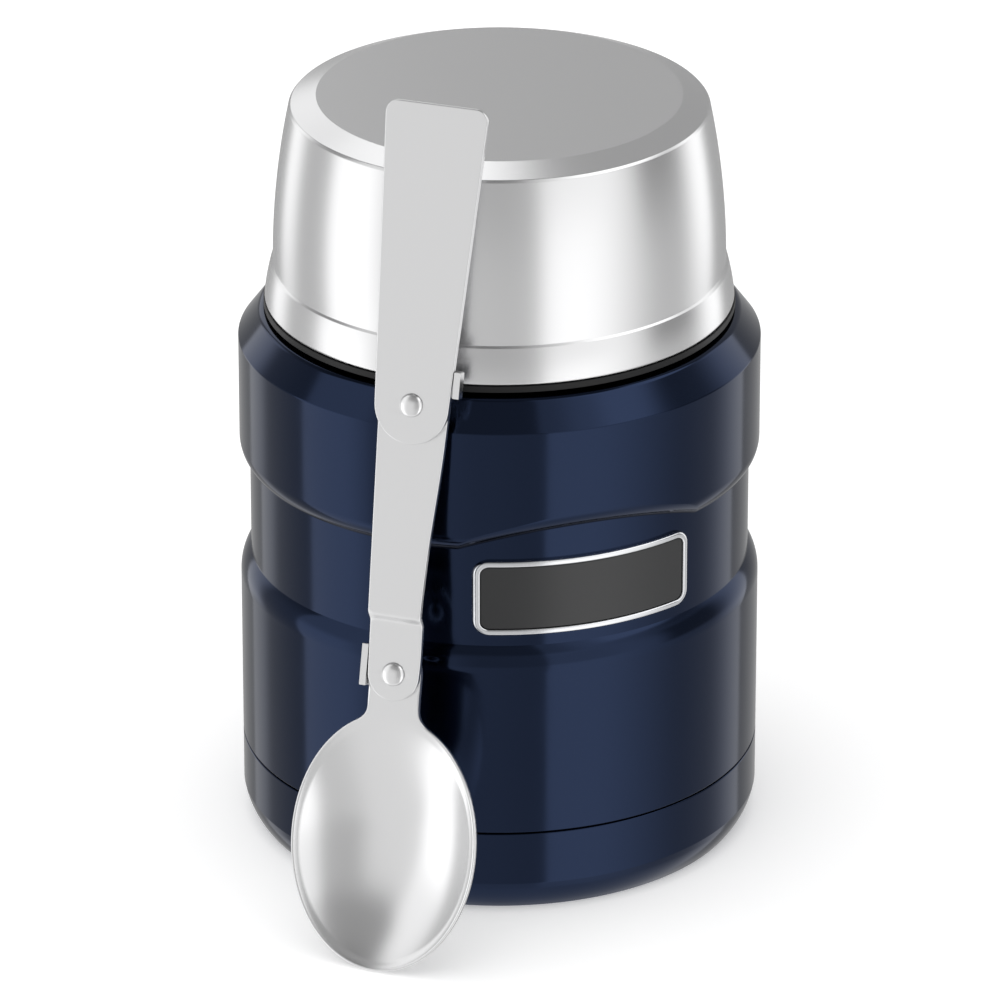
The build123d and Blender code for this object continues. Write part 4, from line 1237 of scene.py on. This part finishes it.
class FOODJAR_OT_spoon(bpy.types.Operator):
    """Build the folding spoon: bowl and neck, link with its joggle, handle and rivets"""

    bl_idname = "foodjar.spoon"
    bl_label = "Folding spoon"

    def execute(self, context):
        s = context.scene.food_jar_spoon
        place = spoon_place(s)
        low, high, top = spoon_levels(s)
        for piece, body, node_name in (
            (self.make_bowl(s), "spoon_bowl_end", "spoon_bowl"),
            (self.make_link(s), "spoon_middle", "spoon_link"),
            (self.make_handle(s), "spoon_grip", "spoon_handle"),
            (self.make_rivet("lower_rivet_pin", s, s.lower_rivet, -s.plate, low + s.plate),
             "spoon_bowl_end", "lower_rivet"),
            (self.make_rivet("upper_rivet_pin", s, s.upper_rivet, high, top + s.plate),
             "spoon_middle", "upper_rivet"),
        ):
            piece.data.transform(place)
            settle(piece, body, "spoon_steel", node_name)
        return {"FINISHED"}

    @staticmethod
    def make_bowl(s):
        """The bowl and the neck as one sheet with rounded edges, its stop tab and its hole."""
        way = around(512)
        way = way - 0.35 * np.sin(way)  # more points where the neck leaves the bowl
        reach = bowl_reach(s, way)
        dx, dy = np.sin(way), np.cos(way)
        oval = 1 / np.hypot(dx / s.bowl_half_width, dy / s.bowl_half_length)
        neck = ((1 + dy) / 2) ** 9
        t, edge = s.plate, s.edge

        # The bowl's shift runs out in the neck. Its tip is a little short, and bends back.
        shift_end, shift_run = s.lower_rivet - 0.004, 0.009
        tip_share, tip_bend = 0.993, 0.0001

        def row(radius, height):
            """Points at a radius from the bowl's middle and at a height."""
            along = s.bowl_half_length + radius * dy * np.where(dy < 0, tip_share, 1)
            across = radius * dx + s.bowl_shift * ease((shift_end - along) / shift_run)
            bend = tip_bend * np.clip(1 - along / (2 * s.bowl_half_length), 0, 1) ** 2
            return np.stack([across, along, height - bend], axis=1)

        def dish(u, full):
            """Height of the hollow at a share of its radius; it runs out softly to the neck."""
            return -full * ((1 - neck) * (1 - u**2.3) + neck * (1 - u * u) ** 1.5)

        shares = np.linspace(0, 1, 30)[1:-1] ** 0.85
        turns = np.linspace(0, pi / 2, 5)
        brim, depth = oval - s.bowl_rim, s.bowl_depth - s.bowl_rim
        # A small round from the dish to the flat rim: how far out, and how far down.
        brim_round = ((0.0, 0.00022), (0.00012, 0.0001), (0.00028, 0.00002), (0.0004, 0.0))
        flat = brim + brim_round[-1][0]
        rows = [row(0, dish(0, depth))]
        rows += [row(brim * u, dish(u, depth)) for u in shares]
        rows += [row(brim + out, -down * (1 - 0.9 * neck)) for out, down in brim_round]
        rows += [row(flat + (reach - edge - flat) * u, 0) for u in (0.33, 0.66, 1.0)]
        rows += [row(reach - edge + edge * sin(a), -edge + edge * cos(a)) for a in turns[1:]]
        rows += [row(reach - edge + edge * cos(a), -t + edge - edge * sin(a)) for a in turns]
        # The bulge on the back starts inside the oval, and stays just clear of the plate's back.
        back, inset, clear = oval - 0.0002, 0.00025, 0.00004
        rows += [row(back + (reach - edge - back) * u - inset, -t) for u in (0.66, 0.33, 0.0)]
        rows += [
            row((back - inset) * u, np.minimum(dish(u, s.bowl_depth), -t - clear))
            for u in shares[::-1]
        ]
        rows.append(row(0, -s.bowl_depth))
        bowl = skin("spoon_bowl_and_neck", rows, crease=PLATE_CREASE)
        inner = -s.link_low_radius - s.tab_gap
        outer, root = inner - s.tab, -s.neck_half_width + 0.0012
        front, bend = s.plate_gap + s.plate, 0.0003
        tab = make_tab("neck_stop", [
            (root, -t + SKIM), (root, -SKIM), (inner + bend, -SKIM), (inner, bend),
            (inner, front), (outer, front), (outer, -t + HEEL),
            (outer + HEEL_CUT, -t + HEEL_CUT), (outer + HEEL, -t + SKIM),
        ], s.lower_rivet - s.neck_tab_low, s.lower_rivet + s.neck_tab_high)
        radius = s.rivet_radius + FIT
        drill = pin("rivet_drill", s.lower_rivet, [(radius, -t - MM), (radius, MM)], 48)
        return combine(combine(bowl, tab, "UNION"), drill, "DIFFERENCE")

    @staticmethod
    def draw_in(s, outline):
        """Draws the right edge of the link's outline in over the joggle."""
        start, start_run = s.lower_rivet + 0.001, 0.013
        end, end_run = s.upper_rivet - 0.006, 0.024
        long_side = 0.02
        drawn = []
        for (x0, y0), (x1, y1) in zip(outline, outline[1:] + outline[:1]):
            parts = 28 if abs(y1 - y0) > long_side and x0 > 0 else 1
            for t in np.arange(parts) / parts:
                x, y = x0 + (x1 - x0) * t, y0 + (y1 - y0) * t
                share = ease(min((y - start) / start_run, (end - y) / end_run))
                drawn.append((x - s.link_hollow * share * (x > 0), y))
        return drawn

    def make_link(self, s):
        """The link between the rivets, with its joggle and its stop tab."""
        low, back, handle_back = spoon_levels(s)
        ends = (s.lower_rivet, s.upper_rivet)
        outline = hull([(0, ends[0], s.link_low_radius), (0, ends[1], s.link_high_radius)])
        beside = 0.0002  # how far the cuts reach past the joggle
        cuts = np.linspace(s.joggle - beside, s.joggle + s.joggle_run + beside, 13)
        link = plate(
            "spoon_middle_link", self.draw_in(s, outline), [rivet_hole(s, y) for y in ends],
            s.plate, s.edge, cuts=cuts,
            bend=lambda y: s.joggle_step * ease((y - s.joggle) / s.joggle_run),
        )
        link.data.transform(Matrix.Translation((0, 0, low)))
        taper = (s.handle_half_width - s.handle_end_radius) / (s.handle_top - s.upper_rivet)
        inner = s.handle_end_radius + taper * s.handle_tab_high + s.tab_gap
        outer, root = inner + s.tab, s.link_high_radius - 0.003
        front, high = handle_back + s.plate, back + s.plate
        tab = make_tab("handle_stop", [
            (root, back + SKIM), (outer - HEEL, back + SKIM),
            (outer - HEEL_CUT, back + HEEL_CUT), (outer, back + HEEL),
            (outer, front), (inner, front), (inner, high),
            (root, high - SKIM),
        ], s.upper_rivet + s.handle_tab_low, s.upper_rivet + s.handle_tab_high)
        return combine(link, tab, "UNION")

    @staticmethod
    def make_handle(s):
        """The flat handle, bare of any mark."""
        corner = s.handle_corner
        x, y = s.handle_half_width - corner, s.handle_top - corner
        outline = hull([
            (0, s.upper_rivet, s.handle_end_radius), (-x, y, corner), (x, y, corner),
        ])
        handle = plate(
            "spoon_handle_plate", outline, [rivet_hole(s, s.upper_rivet)], s.plate, s.edge
        )
        handle.data.transform(Matrix.Translation((0, 0, spoon_levels(s)[2])))
        return handle

    @staticmethod
    def make_rivet(name, s, along, back, front):
        """A domed rivet through the plates between back and front."""
        low, high, head, rise = back - FIT, front + FIT, s.rivet_head, s.rivet_rise
        dome = [(head * sin(a), rise * cos(a) ** 0.9) for a in np.linspace(0, 0.46 * pi, 12)]
        line = [
            (0, low - rise), *[(r, low - z) for r, z in dome[1:]], (head, low),
            (s.rivet_radius, low), (s.rivet_radius, high),
            (head, high), *[(r, high + z) for r, z in dome[:0:-1]], (0, high + rise),
        ]
        return pin(name, along, line, 64, 50)


# ---- Studio --------------------------------------------------------------------------------------
# The soft panels that reflections see, each over those before it. Their angles are in degrees, and
# turn from the front towards +X: name, left and right edge, softness of each of them, lower and
# upper edge, softness of both, brightness.
PANELS = (
    ("front gap", 4, 30, 24, 1, -91, 91, 1, 0.62),
    ("left flag", -127, -90, 6, 1, -91, 91, 1, 0.57),
    ("right flag", 76, 120, 20, 1, -91, 91, 1, 0.64),
    ("dark ceiling", -180, 180, 1, 1, 30, 91, 44, 0.2),
    ("back wall", 134.5, 217.5, 3, 2, -91, 66, 10, 0.44),
    ("back centre", 172, 192, 12, 12, 6, 60, 14, 0.49),
    ("bright floor behind", 173, 187, 4, 4, -21, -8, 5, 0.95),
    ("rear top panel", 169, 192, 10, 8, 52, 84, 8, 1.35),
    ("left softbox", -96, -60, 1.5, 26, -75, 50, 60, 1.62),
    ("left softbox top", -96, -58, 1.5, 26, 8, 52, 16, 1.15),
    ("left rear softbox", -173.6, -150, 8, 6, 12, 76, 6, 1.22),
    ("left rear top panel", -174, -148, 8, 6, 44, 76, 8, 1.75),
    ("left rear low panel", -142.5, -127, 2, 12, -75, 30, 14, 0.9),
    ("left rear panel", -142.5, -125, 2, 12, -18, 30, 12, 1.5),
    ("right softbox", 20.5, 66, 1.5, 52, -75, 64, 16, 1.52),
    ("right softbox top", 20.5, 66, 1.5, 52, 30, 64, 12, 0.85),
    ("right softbox top middle", 36, 66, 18, 52, 30, 64, 12, 1.3),
    ("right dark flag", 76, 116, 12, 8, -6, 24, 8, 0.28),
    ("front ceiling", -60, 20.5, 20, 1.5, 36, 60, 12, 0.34),
    ("front dim strip", -26, 20.5, 10, 1, -3, 30, 7, 0.52),
    ("right dim strip", 20.5, 58, 1.5, 34, -1, 28, 7, 1.18),
    ("right top panel", 52, 120, 16, 12, 38, 62, 6, 1.8),
    ("right rear low panel", 116, 134.5, 26, 2, -75, 34, 14, 1.05),
    ("right rear panel", 114, 134.5, 26, 2, -18, 34, 12, 1.6),
    ("front fill", -58, -18, 6, 22, -75, 26, 16, 0.86),
    ("pale ground", -180, 180, 1, 1, -91, -48, 18, 0.95),
)
WALL_GLOW = 0.7
WHITE = (1, 1, 1, 1)


def seen_bare(tree):
    """1 for what the camera sees by itself, in metal or through glass, and 0 for lit surfaces."""
    path = tree.nodes.new("ShaderNodeLightPath").outputs
    seen = math(tree, "MAXIMUM", path["Is Camera Ray"], path["Is Glossy Ray"])
    return math(tree, "MAXIMUM", seen, path["Is Transmission Ray"])


@cache
def panel_group():
    """Lays one soft panel over what is under it, by turn and tilt in degrees."""
    labels = (
        "Turn", "Tilt", "Under", "Middle", "Half", "Left soft", "Right soft", "Low", "High",
        "Soft", "Glow",
    )
    tree, start, end = new_group(
        "Soft panel", [(label, FLOAT, 0.0) for label in labels], ["Value"]
    )
    given = start.outputs

    def fade(value, edge, soft):
        """Rises from 0 to 1 over soft degrees round an edge."""
        half = math(tree, "MULTIPLY", given[soft], 0.5)
        return node(
            tree, "ShaderNodeMapRange", interpolation_type="SMOOTHSTEP", Value=value,
            i1=math(tree, "SUBTRACT", edge, half), i2=math(tree, "ADD", edge, half),
        ).outputs[0]

    def between(value, low, low_soft, high, high_soft):
        """1 between two soft edges and 0 outside them."""
        under = math(tree, "SUBTRACT", 1.0, fade(value, high, high_soft))
        return math(tree, "MULTIPLY", fade(value, low, low_soft), under)

    off = node(
        tree, "ShaderNodeMath", operation="WRAP", i1=180.0, i2=-180.0,
        i0=math(tree, "SUBTRACT", given["Turn"], given["Middle"]),
    ).outputs[0]
    back = math(tree, "MULTIPLY", given["Half"], -1.0)
    wide = between(off, back, "Left soft", given["Half"], "Right soft")
    tall = between(given["Tilt"], given["Low"], "Soft", given["High"], "Soft")
    mask = math(tree, "MULTIPLY", wide, tall)
    mix = node(tree, "ShaderNodeMix", i0=mask, i2=given["Under"], i3=given["Glow"])
    tree.links.new(mix.outputs[0], end.inputs["Value"])
    return tree


class FOODJAR_OT_stage(bpy.types.Operator):
    """Set up the pale floor, the soft light, the bright and grey panels and the camera"""

    bl_idname = "foodjar.stage"
    bl_label = "Studio"

    def execute(self, context):
        scene = context.scene
        studio = scene.food_jar_studio
        scene.view_settings.view_transform = "Standard"
        self.make_floor(studio)
        self.make_panels()
        self.make_world(scene, studio)
        # A broad light from above, a little from the front and the left.
        lamp = bpy.data.lights.new("top_light", "SUN")
        lamp.energy = studio.sun
        lamp.angle = radians(70)
        holder = bpy.data.objects.new("top_light", lamp)
        holder.rotation_euler = (radians(12), radians(-14), 0)
        holder.visible_glossy = False
        scene.collection.objects.link(holder)
        self.make_camera(scene, studio)
        return {"FINISHED"}

    @staticmethod
    def make_camera(scene, studio):
        """The camera, in front of the jar and looking down at it."""
        camera = bpy.data.cameras.new("camera")
        camera.sensor_width = 36
        camera.lens = studio.lens
        camera.shift_x = 0.0005
        camera.clip_start, camera.clip_end = 0.05, 20
        view = bpy.data.objects.new("camera", camera)
        back = Vector((0, -cos(studio.tilt), sin(studio.tilt)))
        view.location = Vector((0, 0, studio.target)) + back * studio.distance
        view.rotation_euler = (pi / 2 - studio.tilt, 0, 0)
        scene.collection.objects.link(view)
        scene.camera = view

    @staticmethod
    def make_floor(studio):
        """A large pale floor."""
        half, parts = 4, 8  # half its width, and its squares along a side
        way = np.linspace(-half, half, parts + 1)
        mesh = bpy.data.meshes.new("floor")
        row = parts + 1
        faces = [
            (i * row + j, i * row + j + 1, (i + 1) * row + j + 1, (i + 1) * row + j)
            for i in range(parts) for j in range(parts)
        ]
        mesh.from_pydata([(x, y, 0) for y in way for x in way], [], faces)
        floor = bpy.data.objects.new("floor", mesh)
        bpy.context.scene.collection.objects.link(floor)
        material, tree, bsdf = blank(
            "Pale floor", tuple(studio.floor),
            Roughness=0.9, Specular_IOR_Level=0.0, Emission_Color=WHITE,
        )
        lift = math(tree, "MULTIPLY", seen_bare(tree), studio.floor_lift)
        tree.links.new(lift, bsdf.inputs["Emission Strength"])
        mesh.materials.append(material)
        floor.visible_glossy = False

    @staticmethod
    def make_panels():
        """A round of bright and grey panels, seen only in reflections."""
        reach = 2  # from the jar
        panels = skin("studio_panels", [
            ring(reach * cos(tilt), around(48), reach * sin(tilt))
            for tilt in np.linspace(-pi / 2, pi / 2, 25)
        ])
        material = bpy.data.materials.new("Studio panels")
        material.use_nodes = True
        tree = material.node_tree
        tree.nodes.clear()
        place = tree.nodes.new("ShaderNodeTexCoord").outputs["Object"]
        flat = node(tree, "ShaderNodeVectorMath", operation="NORMALIZE", i0=place).outputs[0]
        x, y, z = node(tree, "ShaderNodeSeparateXYZ", Vector=flat).outputs
        away = math(tree, "MULTIPLY", y, -1.0)
        turn = math(tree, "DEGREES", math(tree, "ARCTAN2", x, away))
        tilt = math(tree, "DEGREES", math(tree, "ARCSINE", z))
        glow = WALL_GLOW
        for label, left, right, left_soft, right_soft, low, high, soft, value in PANELS:
            # A panel that goes all the way round has no edges.
            half = (right - left) / 2 + (2 if right - left > 359 else 0)
            glow = node(
                tree, "ShaderNodeGroup", node_tree=panel_group(), label=label, Turn=turn, Tilt=tilt,
                Under=glow, Middle=(left + right) / 2, Half=half, Low=low, High=high, Soft=soft,
                Glow=value, **{"Left soft": left_soft, "Right soft": right_soft},
            ).outputs[0]
        shine = node(tree, "ShaderNodeEmission", Color=WHITE, Strength=glow)
        node(tree, "ShaderNodeOutputMaterial", Surface=shine.outputs[0])
        material.cycles.emission_sampling = "NONE"
        panels.data.materials.append(material)
        for rays in ("camera", "diffuse", "shadow", "transmission", "volume_scatter"):
            setattr(panels, "visible_" + rays, False)

    @staticmethod
    def make_world(scene, studio):
        """Even light, and a white background for the camera, metal and glass."""
        world = bpy.data.worlds.new("studio")
        scene.world = world
        world.use_nodes = True
        tree = world.node_tree
        tree.nodes.clear()
        strength = node(
            tree, "ShaderNodeMapRange", Value=seen_bare(tree), i3=studio.sky, i4=1.0
        ).outputs[0]
        light = node(tree, "ShaderNodeBackground", Color=WHITE, Strength=strength)
        node(tree, "ShaderNodeOutputWorld", Surface=light.outputs[0])


# ---- Add-on --------------------------------------------------------------------------------------
class FOODJAR_PT_panel(bpy.types.Panel):
    """Buttons for the food jar's pieces"""

    bl_idname = "FOODJAR_PT_panel"
    bl_label = "Food Jar"
    bl_space_type = "VIEW_3D"
    bl_region_type = "UI"
    bl_category = "Food Jar"

    def draw(self, context):
        for step in STEPS:
            self.layout.operator(step.bl_idname)


STEPS = (
    FOODJAR_OT_body, FOODJAR_OT_base, FOODJAR_OT_vessel, FOODJAR_OT_badge, FOODJAR_OT_stopper,
    FOODJAR_OT_cup, FOODJAR_OT_spoon, FOODJAR_OT_stage,
)
GROUPS_OF_SIZES = {
    "food_jar_sizes": JarSizes, "food_jar_vessel": VesselSizes, "food_jar_stopper": StopperSizes,
    "food_jar_cup": CupSizes, "food_jar_spoon": SpoonSizes, "food_jar_finishes": Finishes,
    "food_jar_studio": Studio,
}


def register():
    for made in (*GROUPS_OF_SIZES.values(), *STEPS, FOODJAR_PT_panel):
        bpy.utils.register_class(made)
    for name, made in GROUPS_OF_SIZES.items():
        setattr(bpy.types.Scene, name, PointerProperty(type=made))


def unregister():
    for name in GROUPS_OF_SIZES:
        delattr(bpy.types.Scene, name)
    for made in (FOODJAR_PT_panel, *reversed(STEPS), *GROUPS_OF_SIZES.values()):
        bpy.utils.unregister_class(made)


def main():
    """Builds the jar and its studio."""
    register()
    bpy.ops.foodjar.body()
    bpy.ops.foodjar.base()
    bpy.ops.foodjar.vessel()
    bpy.ops.foodjar.badge()
    bpy.ops.foodjar.stopper()
    bpy.ops.foodjar.cup()
    bpy.ops.foodjar.spoon()
    bpy.ops.foodjar.stage()


if __name__ == "__main__":
    main()
